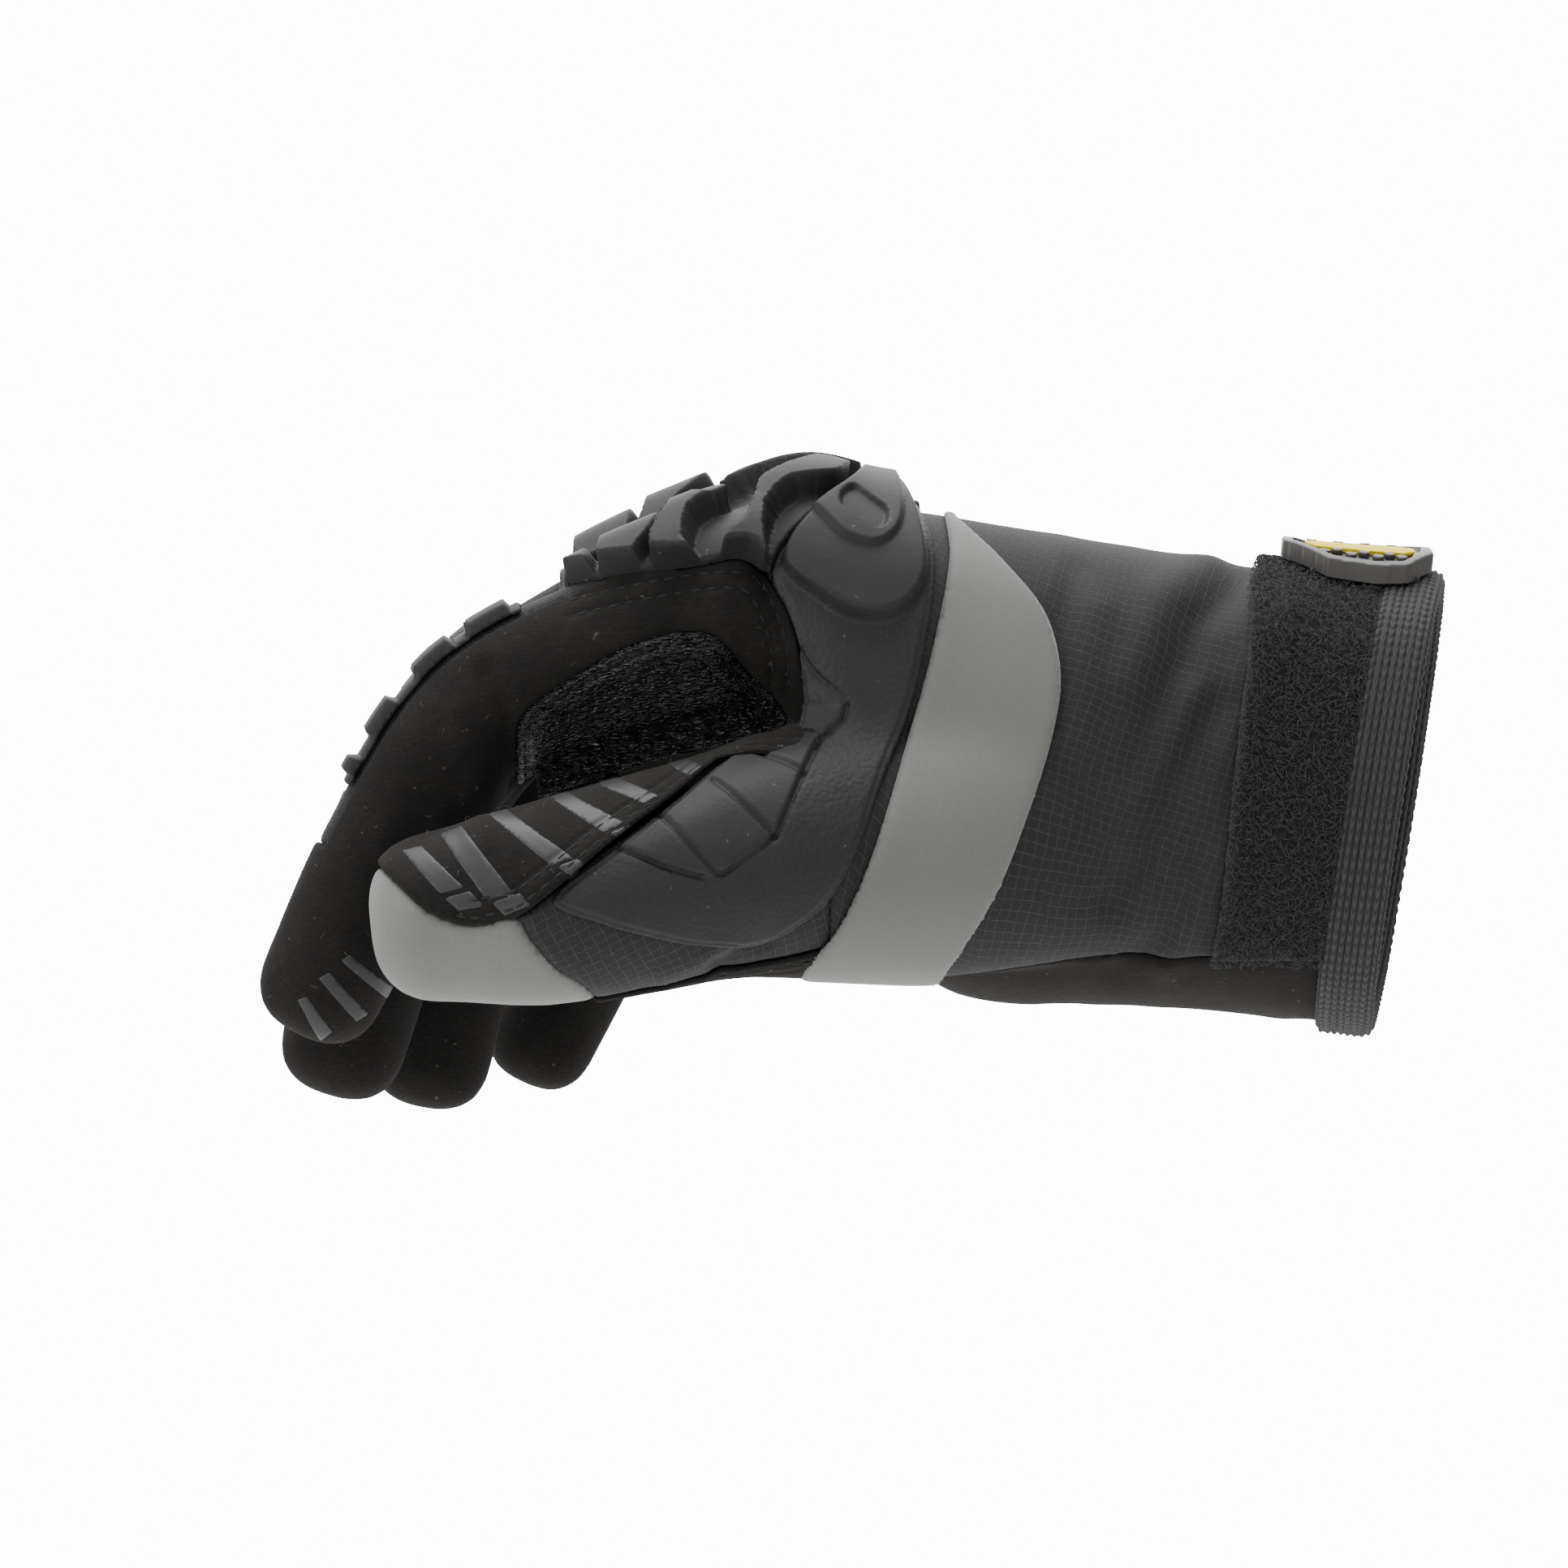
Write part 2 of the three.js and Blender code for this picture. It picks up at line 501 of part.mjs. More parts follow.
const tipPrism = (grow) => sidePrism(THUMB_TIP, -FAR, -0.6 * PALM_WIDTH + grow, grow)
const suedePrism = (grow) => sidePrism(THUMB_SUEDE, -FAR, FAR, grow)
const thumbSkin = take(thumbZone(0), thumbZone(SEAM))
add('thumb_tip_panel', thumbSkin.intersect(tipPrism(0)), GREY, 0.85)
const thumbRest = thumbSkin.subtract(tipPrism(SEAM))
const thumbBackBlock = (grow) => block(-FAR, FAR, -FAR, -0.6 * PALM_WIDTH + grow, -FAR, FAR)
add('thumb_back_fabric', thumbRest.intersect(thumbBackBlock(0)).subtract(suedePrism(0)),
  RIPSTOP, 0.9)
add('thumb_leather', thumbRest.subtract(thumbBackBlock(SEAM).subtract(suedePrism(-SEAM))),
  SUEDE, 0.95)

for (const digit of fingers) {
  const [zone, grownZone] = [0, SEAM].map((grow) => {
    const tube = digitZone(digit, grow)
    return digit.name === 'index' ? tube.add(indexSideZone(grow)) : tube
  })
  add(`${digit.name}_leather`, take(zone, grownZone), SUEDE, 0.95)
}

// Block under a plane that climbs from the thumb side to the little finger side.
function underSeam(seam, grow) {
  const nearY = seam.near.y * PALM_WIDTH
  const nearZ = seam.near.z * PALM_HEIGHT
  const slope = (seam.far.z * PALM_HEIGHT - nearZ) / (seam.far.y * PALM_WIDTH - nearY)
  const height = (y) => nearZ + (y - nearY) * slope + grow
  const shape = new THREE.Shape([
    new THREE.Vector2(-FAR, -3 * FAR), new THREE.Vector2(FAR, -3 * FAR),
    new THREE.Vector2(FAR, height(FAR)), new THREE.Vector2(-FAR, height(-FAR)),
  ])
  const prism = new THREE.ExtrudeGeometry(shape, { depth: 2 * FAR, bevelEnabled: false })
  prism.rotateX(Math.PI / 2)
  prism.rotateZ(Math.PI / 2)
  prism.translate(-FAR, 0, 0)
  return solid(prism)
}

const palmBlock = (grow) => underSeam(PALM_SEAM, grow)
  .add(sidePrism(PALM_FRONT, PALM_FRONT_NEAR * PALM_WIDTH - grow, FAR, grow))
add('palm_leather', rest.intersect(palmBlock(-SEAM)), SUEDE, 0.95)
add('back_fabric', rest.subtract(palmBlock(0)), RIPSTOP, 0.9)

// Second layer: grey crescent, rubber and the hook and loop field
const GUARD_TOP = GAP + GUARD_WALL
const NEAR_SIDE = GUARD_REACH * PALM_WIDTH
const band = layer(GAP, GAP + BAND_WALL).intersect(sidePrism(BAND, -FAR, NEAR_SIDE))
add('grey_band', band, GREY, 0.85)

const raised = (points, rise) => hand(GUARD_TOP + rise).intersect(sidePrism(points, -FAR, NEAR_SIDE))
const recess = acrossHand(pillCorners(), -FAR, NEAR_SIDE)
  .subtract(hand(GUARD_TOP + DOME_RISE - PILL_DEPTH))
const guardForms = [layer(GAP, GUARD_TOP).intersect(sidePrism(GUARD, -FAR, NEAR_SIDE)),
  raised(DOME, DOME_RISE).subtract(recess), ...LEAVES.map((leaf) => raised(leaf, LEAF_RISE))]
const thumbInside = block(-FAR, THUMB_INSIDE.x * PALM_LENGTH, THUMB_INSIDE.y * PALM_WIDTH, FAR,
  -FAR, THUMB_INSIDE.z * PALM_HEIGHT)
add('thumb_guard', joined(guardForms).subtract(hand(GAP)).subtract(thumbInside), RUBBER, 0.6)

const guardCut = sidePrism(GUARD, -FAR, NEAR_SIDE + SEAM, SEAM)
  .add(sidePrism(DOME, -FAR, NEAR_SIDE + SEAM, SEAM))
const plateBox = block(KNUCKLES.from * PALM_LENGTH, KNUCKLES.to * PALM_LENGTH,
  KNUCKLES.near * PALM_WIDTH, KNUCKLES.far * PALM_WIDTH, 0, FAR).subtract(underSeam(KNUCKLE_SEAM, 0))
const ribs = joined(KNUCKLE_RIBS.flatMap(({ from, to, ahead, drop }) => RIBS.map((rib) => sidePrism(
  rib.map(([x, z]) => [x - ahead, z - drop]), from * PALM_WIDTH, to * PALM_WIDTH))))
  .intersect(hand(GUARD_TOP + RIB_RISE))
const knuckles = layer(GAP, GUARD_TOP).add(ribs).intersect(plateBox).subtract(hand(GAP))
  .subtract(guardCut).subtract(indexSideZone(SEAM))
add('knuckle_guard', knuckles, RUBBER, 0.6)

for (const digit of fingers) {
  const step = 0.006
  const rows = BLOCKS.flatMap(({ from, to }) => [
    { at: from - step, rise: STRIP_RISE }, { at: from, rise: BLOCK_RISE },
    { at: to, rise: BLOCK_RISE }, { at: to + step, rise: STRIP_RISE },
  ]).map(({ at, rise }) => ({ at, inner: GAP, outer: GAP + rise }))
  add(`${digit.name}_guard`, backBand(digit, rows, BLOCK_ARC), RUBBER, 0.6)
}

const loopSlab = cuffSlab(-FAR, -BINDING_WIDTH - SEAM)
const loop = layer(GAP, GAP + LOOP_WALL).intersect(sidePrism(LOOP_EDGE, -FAR, FAR))
  .intersect(loopSlab).subtract(underSeam(PALM_SEAM, SEAM))
add('loop_field', loop, 0x242424, 1)

const bindingOuter = GAP + BINDING_WALL
const binding = layer(-WALL - bindingOuter, bindingOuter)
  .intersect(cuffSlab(-BINDING_WIDTH, bindingOuter))
  .subtract(layer(-WALL - GAP, GAP).intersect(cuffSlab(-FAR, GAP)))
add('cuff_binding', binding, 0x333436, 0.95)

// Strap over the loop field, and the moulded tab on its end
const strapFloor = GAP + LOOP_WALL + GAP
const strapTop = strapFloor + STRAP_WALL
const strap = layer(strapFloor, strapTop)
  .intersect(cuffSlab(-STRAP_START - STRAP_WIDTH, -STRAP_START))
  .intersect(block(-FAR, FAR, STRAP_END * PALM_WIDTH, FAR, -FAR, FAR))
  .subtract(underSeam(PALM_SEAM, SEAM))
add('closure_strap', strap, 0x2a2a2b, 0.95)

// Prism upright through the back of the hand, its outline a share of a length and a width.
function topPrism(points, centre, length, width, inset = 0) {
  const shape = new THREE.Shape(points.map(([along, across]) => new THREE.Vector2(
    centre.x + along * (length - 2 * inset), centre.y + across * (width - 2 * inset))))
  return solid(new THREE.ExtrudeGeometry(shape, { depth: FAR, bevelEnabled: false }))
}

// Height of the back of the hand at a place, grown outwards by grow.
function backHeight(x, y, grow) {
  const heights = PALM.map((row) => {
    const points = palmRing(row, grow, 0)
    const tops = points.map((point, k) => [point, points[(k + 1) % points.length]])
      .filter(([a, b]) => (a.y - y) * (b.y - y) <= 0 && a.y !== b.y)
      .map(([a, b]) => a.z + (b.z - a.z) * (y - a.y) / (b.y - a.y))
    return { x: row.at * PALM_LENGTH, z: Math.max(...tops) }
  })
  const k = heights.findIndex((row) => row.x < x)
  const [before, after] = [heights[k - 1], heights[k]]
  return before.z + (after.z - before.z) * (x - before.x) / (after.x - before.x)
}

const tabCentre = { x: TAB_CENTRE.x * PALM_LENGTH, y: TAB_CENTRE.y * PALM_WIDTH }
const tabFloor = strapTop + GAP
const tabTop = tabFloor + TAB_WALL
const tabPrism = (inset) => topPrism(TAB, tabCentre, TAB_LENGTH, TAB_WIDTH, inset)
const rim = layer(tabFloor, tabTop + TAB_RIM_RISE).intersect(tabPrism(0))
  .subtract(tabPrism(TAB_RIM))
const studs = STUDS.map(([along, across]) => {
  const x = tabCentre.x + along * TAB_LENGTH
  const y = tabCentre.y + across * TAB_WIDTH
  const sunk = TAB_WALL / 2
  const stud = new THREE.CylinderGeometry(STUD_WIDTH / 2, STUD_WIDTH / 2, STUD_RISE + sunk, 6)
  stud.rotateX(Math.PI / 2)
  stud.translate(x, y, backHeight(x, y, tabTop) + (STUD_RISE - sunk) / 2)
  return solid(stud)
})
const tab = joined([layer(tabFloor, tabTop).intersect(tabPrism(0)), rim, ...studs])
add('pull_tab', tab, 0x4f4c48, 0.6)

const inlay = layer(tabTop + GAP, tabTop + GAP + INLAY_WALL)
  .intersect(topPrism(INLAY, tabCentre, TAB_LENGTH, TAB_WIDTH))
add('tab_inlay', inlay, 0xe8d21f, 0.5)

export default group
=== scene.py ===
"""Mechanic glove for a right hand: suede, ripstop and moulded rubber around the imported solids.

Shapes are worked out in millimetres in the part's own frame, and each finished piece is scaled
to metres. +X runs up the forearm, +Z to the back of the hand and -Y to the thumb side.
"""
import math
import random

import bmesh
import bpy
import numpy as np
from mathutils import Matrix, Vector, noise
from mathutils.bvhtree import BVHTree
from mathutils.kdtree import KDTree


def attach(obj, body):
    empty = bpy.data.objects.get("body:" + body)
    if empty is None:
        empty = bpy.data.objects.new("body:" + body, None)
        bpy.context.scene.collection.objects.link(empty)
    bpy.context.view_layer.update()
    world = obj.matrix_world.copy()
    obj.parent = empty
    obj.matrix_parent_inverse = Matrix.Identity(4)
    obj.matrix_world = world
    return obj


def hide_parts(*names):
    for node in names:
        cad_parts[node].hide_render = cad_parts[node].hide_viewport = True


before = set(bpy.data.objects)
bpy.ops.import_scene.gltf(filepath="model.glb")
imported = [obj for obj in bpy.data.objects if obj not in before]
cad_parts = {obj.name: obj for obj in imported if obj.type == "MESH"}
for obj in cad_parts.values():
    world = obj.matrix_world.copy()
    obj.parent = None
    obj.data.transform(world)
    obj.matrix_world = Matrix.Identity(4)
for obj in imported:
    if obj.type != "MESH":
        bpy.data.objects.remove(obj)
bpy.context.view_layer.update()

# Driving sizes of the hand, in millimetres
PALM_LENGTH = 100        # cuff opening to the knuckles
PALM_WIDTH = 80
PALM_HEIGHT = 80
FINGER_WIDTH = 21.4
FINGER_DEPTH = 25
THUMB_WIDTH = 33
THUMB_DEPTH = 34
CUFF_LEAN = 9            # degrees
CUFF_TURN = 6            # degrees

# Layers, as heights above the outside of the hand's cloth
BAND_TOP = 1.4
GUARD_TOP = 1.9
LOOP_TOP = 1.8
STRAP_TOP = 3.2
TAB_TOP = 4.7
TAB_RIM_RISE = 0.9
DOME_RISE = 4.6
BLOCK_RISE = 2.4
STRIP_RISE = 0.9

VOXEL = 1.0              # spacing of the hand form's mesh
HAND_ROUNDS = 8          # rounds of smoothing where the digits and the palm are joined
SPAN = 7                 # height up to which the rubber's skin spans the hand's creases
SPAN_ROUNDS = 16
SNAP = 0.06              # a vertex this near a cut counts as lying on it
FAR = 300                # beyond every piece
DIGIT_STEPS = 90         # points along a digit's centre line
PALM_ROUND = 38          # length of cloth round the palm to one radian

# Edges, measured from the cuff's opening, and how far the lining reaches towards the fingers,
# so that nothing shows through the gaps between panels
CLOTH_END = 0.6
LOOP_END = 7.6
STRAP_EDGES = (2, 20)
LINING_END = -118
LINING_DEPTH = 1.0

# Stitches: from one to the next, half sizes of one, and the groove that a row pulls in
STITCH_PITCH = 2.7
STITCH = (1, 0.28, 0.24)
GROOVE_FALL = 0.3
GROOVE_REACH = 0.55

# Slack cloth round the wrist: from where to where along the hand, and how deep its waves are
SLACK_ALONG = (-82, -8)
SLACK_DEPTH = 1.5

# Forms of the rubber panel
PLATEAU_RISE = 1.1
FAN_RISE = 0.5
LEAF_GROOVE = 0.7
LEAF_GROOVE_REACH = 0.42
LIP = (1.1, 0.4)         # width and depth of the thinner lip round it
SEAM_SINK = 0.9          # how far it sinks under the thumb's suede
SEAM_TOP = 0.8           # height of that suede, and how much more along the seam
SEAM_SWELL = 1.5

# Fibres: how many, their size, steps along each and thickness
CURLS = dict(count=3600, size=0.62, steps=5, thickness=0.1)
HAIRS = dict(count=50, size=0.45, steps=4, thickness=0.045)

# Columns of stitches in the binding: a column's width, steps round the cuff, steps to a stitch
COLUMN = 1.15
BINDING_STEPS = 720
STEPS_TO_A_STITCH = 6
# Profile across the binding: past the cuff plane and off the cloth
BINDING = [(-7.5, 0.2), (-7.6, 1.1), (-7, 1.6), (-4, 1.7), (-0.5, 1.6), (0.9, 1.1), (1.4, -0.2),
           (1.2, -1.8), (0.2, -2.8), (-2, -3), (-7, -3), (-7.6, -2.5), (-7.2, -1.9), (-2, -1.8),
           (-0.2, -1.5), (-0.2, 0), (-4, 0.2)]

# Palm sections, as shares of the palm's length, width and height:
# at, y, z, near, far, top, bottom, near top, far top, far bottom, near bottom
PALM = [
    (0.12, 0, -0.02, 0.385, 0.38, 0.47, 0.485, 0.74, 0.74, 0.74, 0.74),
    (-0.17, 0, 0.01, 0.405, 0.395, 0.465, 0.465, 0.75, 0.74, 0.73, 0.74),
    (-0.5, 0, 0.056, 0.46, 0.47, 0.48, 0.48, 0.76, 0.73, 0.64, 0.73),
    (-0.71, 0, 0.09, 0.49, 0.54, 0.49, 0.5, 0.77, 0.73, 0.5, 0.72),
    (-0.88, -0.03, 0.19, 0.49, 0.6, 0.42, 0.47, 0.78, 0.72, 0.4, 0.66),
    (-1.02, 0, 0.37, 0.47, 0.6, 0.26, 0.25, 0.8, 0.7, 0.66, 0.78),
    (-1.15, 0.02, 0.33, 0.43, 0.52, 0.22, 0.19, 0.8, 0.68, 0.66, 0.78),
]

# Fold of leather between thumb and index: at, y, z, wide, deep, degrees that its top tips over
WEB = [
    (-0.8, -0.25, 0.12, 0.22, 0.34, 5),
    (-1.1, -0.27, 0.1, 0.14, 0.3, 20),
    (-1.3, -0.3, 0.05, 0.1, 0.25, 28),
    (-1.42, -0.34, 0.03, 0.07, 0.2, 32),
]

# Digits: where its own panels begin, girth, first joint, then length, drop and turn of each part
FINGER_DEEP = (1.16, 1, 0.96, 0.87, 0.8)
FINGER_WIDE = (1.02, 1, 0.98, 0.95, 0.86)
DIGITS = {
    "index": dict(length=100, begins=-1.2, bulk=1, root=(-1.066, -0.345, 0.404),
                  parts=(0.24, 0.25, 0.28, 0.23), drops=(18, 27, 55, 64), turns=(-1, -1, -1, -2)),
    "middle": dict(length=111, begins=-1.2, bulk=1, root=(-1.053, -0.05, 0.455),
                   parts=(0.23, 0.26, 0.29, 0.22), drops=(20, 34, 62, 73), turns=(0, 0, 0, 0)),
    "ring": dict(length=103, begins=-1.19, bulk=0.97, root=(-1.047, 0.235, 0.428),
                 parts=(0.23, 0.27, 0.27, 0.23), drops=(28, 37, 71, 78), turns=(1, 2, 2, 2)),
    "little": dict(length=78, begins=-1.13, bulk=0.88, root=(-1.068, 0.5, 0.338),
                   parts=(0.21, 0.23, 0.29, 0.27), drops=(50, 57, 70, 65), turns=(4, 3, 2, 2)),
    "thumb": dict(length=111, begins=-0.95, bulk=1, root=(-0.52, -0.25, -0.03),
                  parts=(0.265, 0.315, 0.28, 0.14), drops=(9, 6, 12, 7), turns=(17, 23, 11, 0),
                  deep=(1.4, 1.32, 1.03, 0.95, 0.8), wide=(0.9, 1.2, 1.03, 0.94, 0.79)),
}
FINGERS = ("index", "middle", "ring", "little")

# Outlines seen from the thumb side, as shares of the palm's length and height
INDEX_SIDE = [(-0.99, 0.14), (-1.0, 0.3), (-1.02, 0.39), (-1.06, 0.46), (-1.1, 0.485),
              (-1.17, 0.47), (-1.3, 0.45), (-1.42, 0.4), (-1.42, 0.1), (-1.2, 0.05)]
PATCH = [(-1.46, 0.12), (-1.45, 0.17), (-1.36, 0.255), (-1.28, 0.31), (-1.2, 0.34),
         (-1.14, 0.335), (-1.1, 0.285), (-1.02, 0.158), (-1.11, 0.117), (-1.27, 0.067),
         (-1.38, 0.018), (-1.45, -0.01)]
THUMB_SUEDE = [(-0.99, 0.15), (-1.11, 0.086), (-1.2, 0), (-1.3, -0.09), (-1.39, -0.18),
               (-1.455, -0.235), (-1.515, -0.25), (-1.58, -0.23), (-1.69, -0.12), (-1.8, -0.05),
               (-1.8, 0.3), (-0.9, 0.3)]
THUMB_TIP = [(-1.8, -0.05), (-1.69, -0.12), (-1.58, -0.23), (-1.515, -0.25), (-1.455, -0.235),
             (-1.43, -0.28), (-1.39, -0.34), (-1.34, -0.385), (-1.3, -0.5), (-1.8, -0.5)]
BAND = [(-0.759, 0.6), (-0.757, 0.49), (-0.787, 0.3), (-0.817, 0.16), (-0.853, 0.01),
        (-0.9, -0.155), (-0.943, -0.26), (-1, -0.355), (-1.0, -0.42), (-0.8, -0.43),
        (-0.77, -0.36), (-0.69, -0.2), (-0.636, -0.04), (-0.588, 0.14), (-0.576, 0.256),
        (-0.6, 0.375), (-0.664, 0.478), (-0.73, 0.56)]
GUARD = [(-0.799, 0.572), (-0.781, 0.48), (-0.802, 0.287), (-0.832, 0.142), (-0.872, 0.02),
         (-0.913, -0.109), (-0.958, -0.202), (-1.003, -0.246), (-1.068, -0.281),
         (-1.154, -0.287), (-1.244, -0.268), (-1.315, -0.246), (-1.395, -0.207),
         (-1.387, -0.182), (-1.295, -0.095), (-1.203, -0.005), (-1.112, 0.08), (-1.0, 0.141),
         (-0.998, 0.305), (-1.017, 0.379), (-1.046, 0.456), (-1, 0.543), (-0.928, 0.616),
         (-0.869, 0.653), (-0.823, 0.633)]
DOME = [(-1.03, 0.466), (-1, 0.545), (-0.94, 0.615), (-0.87, 0.66), (-0.838, 0.634),
        (-0.803, 0.535), (-0.795, 0.437), (-0.82, 0.379), (-0.862, 0.35), (-0.92, 0.357),
        (-0.975, 0.405)]
LOOP_EDGE = [(-0.18, 0.7), (-0.234, 0.488), (-0.257, 0.422), (-0.267, 0.306), (-0.287, 0.141),
             (-0.3, -0.024), (-0.313, -0.189), (-0.331, -0.383), (-0.35, -0.8), (0.3, -0.8),
             (0.3, 0.7)]
KNUCKLE_FRONT = -1.392
KNUCKLE_FAR = 0.64
# Ribs of each knuckle: from and to across the hand, and how far ahead of the index's
KNUCKLE_RIBS = [(-0.6, -0.2, 0), (-0.16, 0.08, 0.045), (0.12, 0.36, 0.02), (0.4, 0.7, -0.04)]
# Seams across the hand, by their height at the thumb side and the little finger side
PALM_SEAM = ((-0.38, -0.37), (0.56, 0.19))
KNUCKLE_SEAM = ((-0.45, 0.42), (0.6, 0.2))
PALM_FRONT = [(-0.74, -0.6), (-0.76, -0.2), (-0.86, 0.1), (-0.98, 0.28), (-1.3, 0.36),
              (-1.5, 0.36), (-1.5, -0.6)]
GUARD_REACH = -0.09
# How far other zones reach across the hand, as shares of the palm's width
REACH = dict(patch=-0.06, thumb=-0.33, thumb_back=-0.6, index=-0.2, index_edge=-0.19,
             palm_front=-0.36, strap=-0.16)
THUMB_BEGINS = -0.95
# Palm suede under the web of the thumb: along, near, far and up
WEB_UNDER = dict(front=-97, near=-0.46, far=-0.1, top=12)
# Corner under the thumb where the rubber panel stops short: along, across and up
GUARD_CORNER = (-70, -32, 4.8)
# Rear edge of the knuckle guard: where it is, how it slants away from the thumb side, and where
# it ends on the thumb side, by the dome
KNUCKLE_BACK = -80
KNUCKLE_SLANT = 0.22
KNUCKLE_BY_DOME = -86
# Slanting lines that rows of stitches keep to, through a point along and up: on the patch they
# stay above theirs or in front of "front", and on the thumb's suede below theirs
PATCH_RIM = dict(along=-146, up=13.5, slope=0.09, front=-143.5)
RUBBER_RIM = dict(along=-98, up=17.5, slope=0.62)
# Tab seen from above, its coloured bar and its studs, as shares of its length and width
TAB_CENTRE = (-0.079, -0.075)
TAB_LENGTH = 25
TAB_WIDTH = 18
TAB = [(-0.5, -0.06), (-0.22, -0.46), (0.1, -0.5), (0.32, -0.44), (0.5, -0.1), (0.5, 0.3),
       (0.3, 0.5), (-0.36, 0.5), (-0.5, 0.28)]
INLAY = [(-0.36, -0.08), (-0.3, -0.16), (0.3, -0.16), (0.38, -0.08), (0.38, 0.02), (0.3, 0.1),
         (-0.3, 0.1), (-0.36, 0.02)]
STUDS = [(-0.24, -0.27), (-0.06, -0.29), (0.12, -0.29), (0.28, -0.26), (-0.15, -0.2),
         (0.03, -0.21), (0.2, -0.2), (-0.3, 0.22), (-0.12, 0.24), (0.06, 0.24), (0.24, 0.22)]
# Rubber panel's raised plateau, leaf fan and grooves, in millimetres along and up
PLATEAU = [(-99, 45.6), (-96.5, 49), (-91, 52.6), (-86.5, 53), (-84.6, 49), (-84.2, 44),
           (-85.4, 40), (-88.6, 38.2), (-93.3, 39.3), (-96.5, 42.3)]
PILL = dict(centre=(-91, 43.2), length=8.6, width=3.3, tilt=-32)
FAN = [(-98.8, 15.6), (-92, 15.3), (-92.8, 12), (-96.5, 8.9), (-99.8, 2.9), (-104.3, -6.2),
       (-112.6, -11.7), (-116.2, -12.2), (-122, -10.5), (-129, -7.8), (-122, -2.6),
       (-112, 5.6), (-104, 12)]
GROOVES = [
    [(-98.9, 10.8), (-95, 10)], [(-107.4, 6.9), (-103, 5), (-99.6, 3.3)],
    [(-113.7, 2.3), (-109, -2), (-104.3, -6.2)], [(-122.6, -2.7), (-117.5, -8), (-113.4, -11.7)],
    [(-129, -7.9), (-122, -10.8), (-116, -12.2)],
    [(-92, 15.3), (-92.8, 12), (-96.5, 8.9), (-99.8, 2.9), (-104.3, -6.2), (-112.6, -11.7)],
    [(-100.4, 25.5), (-96, 20), (-92.4, 16.3)], [(-98.8, 15.8), (-92, 15.3)],
]
# Ribs over each knuckle, from the fingers back: how high, and where each begins and ends
# along the hand at these shares of the way from its near end up to the crest
RIB_SHARES = (0, 0.4, 0.6, 0.8, 0.9, 1)
RIBS = [
    dict(rise=3.0, front=(-137.8, -137.7, -137.6, -137.5, -137.4, -137.3),
         back=(-135.1, -133.6, -133, -132.6, -132.4, -132.3)),
    dict(rise=3.8, front=(-132.8, -132.4, -132.1, -131.6, -131.2, -130.8),
         back=(-126.6, -126.2, -124.4, -122.2, -121.2, -120.4)),
    dict(rise=4.6, front=(-124, -123.5, -123.1, -121.4, -120, -119),
         back=(-114.5, -116.9, -116.6, -115.6, -112.9, -108)),
    dict(rise=4.8, front=(-113.6, -111.8, -109.7, -105.4, -102, -98),
         back=(-105.4, -105.4, -103.8, -99.8, -91, -86)),
]
RIB_NOTCH = 48.5         # height of the small step in the two tallest ribs
RIB_PROUD = 4.5          # ribs that rise more than this have the step
INDEX_ALONG = (-139, -77)
# Foot of the first knuckle's near side: along the hand and up
INDEX_FOOT = [(-139, 32.8), (-132, 33.7), (-126, 35.8), (-121, 37.5), (-115, 38.7),
              (-109, 39.1), (-105, 38.3), (-90, 36.5)]
BLOCKS = ((0.37, 0.44), (0.455, 0.52), (0.555, 0.62), (0.65, 0.685))
BLOCK_ARC = 26           # degrees to each side of the finger's back
STRIP_ARC = 30
STRIP_ALONG = (0.1, 0.8) # shares of the finger's length
# Folds of the worn cloth on the thumb side, in millimetres: line along and up, width, depth
FOLDS = [
    ([(-26.2, 37.6), (-34.8, 29.1), (-40.7, 16.6), (-44.7, 4.7)], 3.2, 1.5),
    ([(-32.1, 39.0), (-41.4, 32.4), (-46.6, 19.2)], 4, -1.5),
    ([(-22, 30), (-28, 18), (-31, 8)], 3.4, -1.1),
    ([(-32.1, 15.2), (-38.1, 3.4), (-44.7, -9.8), (-49.3, -16.4)], 3, 1.4),
    ([(-36.5, 17), (-43, 5), (-48, -6)], 3, -1.0),
    ([(-35.4, -9.8), (-40, -21.6), (-48, -28.2)], 2.6, 1.0),
    ([(-30.5, -6), (-34, -18), (-40, -27)], 2.4, -0.8),
    ([(-54.5, 37.6), (-58.5, 25.8), (-60, 12)], 2.6, 0.8),
    ([(-51, 31), (-53.5, 20), (-54, 8)], 3, -0.8),
    ([(-110.5, 22.5), (-107.2, 15.2), (-104.3, 10.6)], 1.8, 1.7),
    ([(-151, 20.5), (-147.4, 12.6), (-145.5, 0.1)], 2.4, 1.6),
    ([(-155, 14), (-152, 4), (-151, -6)], 2.6, -0.7),
    ([(-113, -26.5), (-109, -24), (-105, -22.6)], 1.6, 1.0),
    ([(-122, -28), (-117, -25.8), (-112, -23.6)], 1.8, -0.7),
    ([(-160, 2), (-163, -9), (-170, -20)], 5, 0.8),
    ([(-128, 27), (-138, 22), (-148, 14)], 6, -0.6),
]
# Seam where the thumb's suede lies over the rubber panel
SEAM = [(-140.9, -15.8), (-130.3, -8.1), (-122.3, -2.9), (-114.8, 2.6), (-107.9, 6.6),
        (-98.3, 10.8)]
# The knuckle guard's edge over the index's suede, seen from the thumb side
KNUCKLE_EDGE = [(-100, 17.6), (-100.6, 26), (-104.6, 35.7), (-107.5, 38), (-111.2, 38.6),
                (-117, 38.2), (-123.2, 37.2), (-131, 35.6), (-138.5, 33.8)]
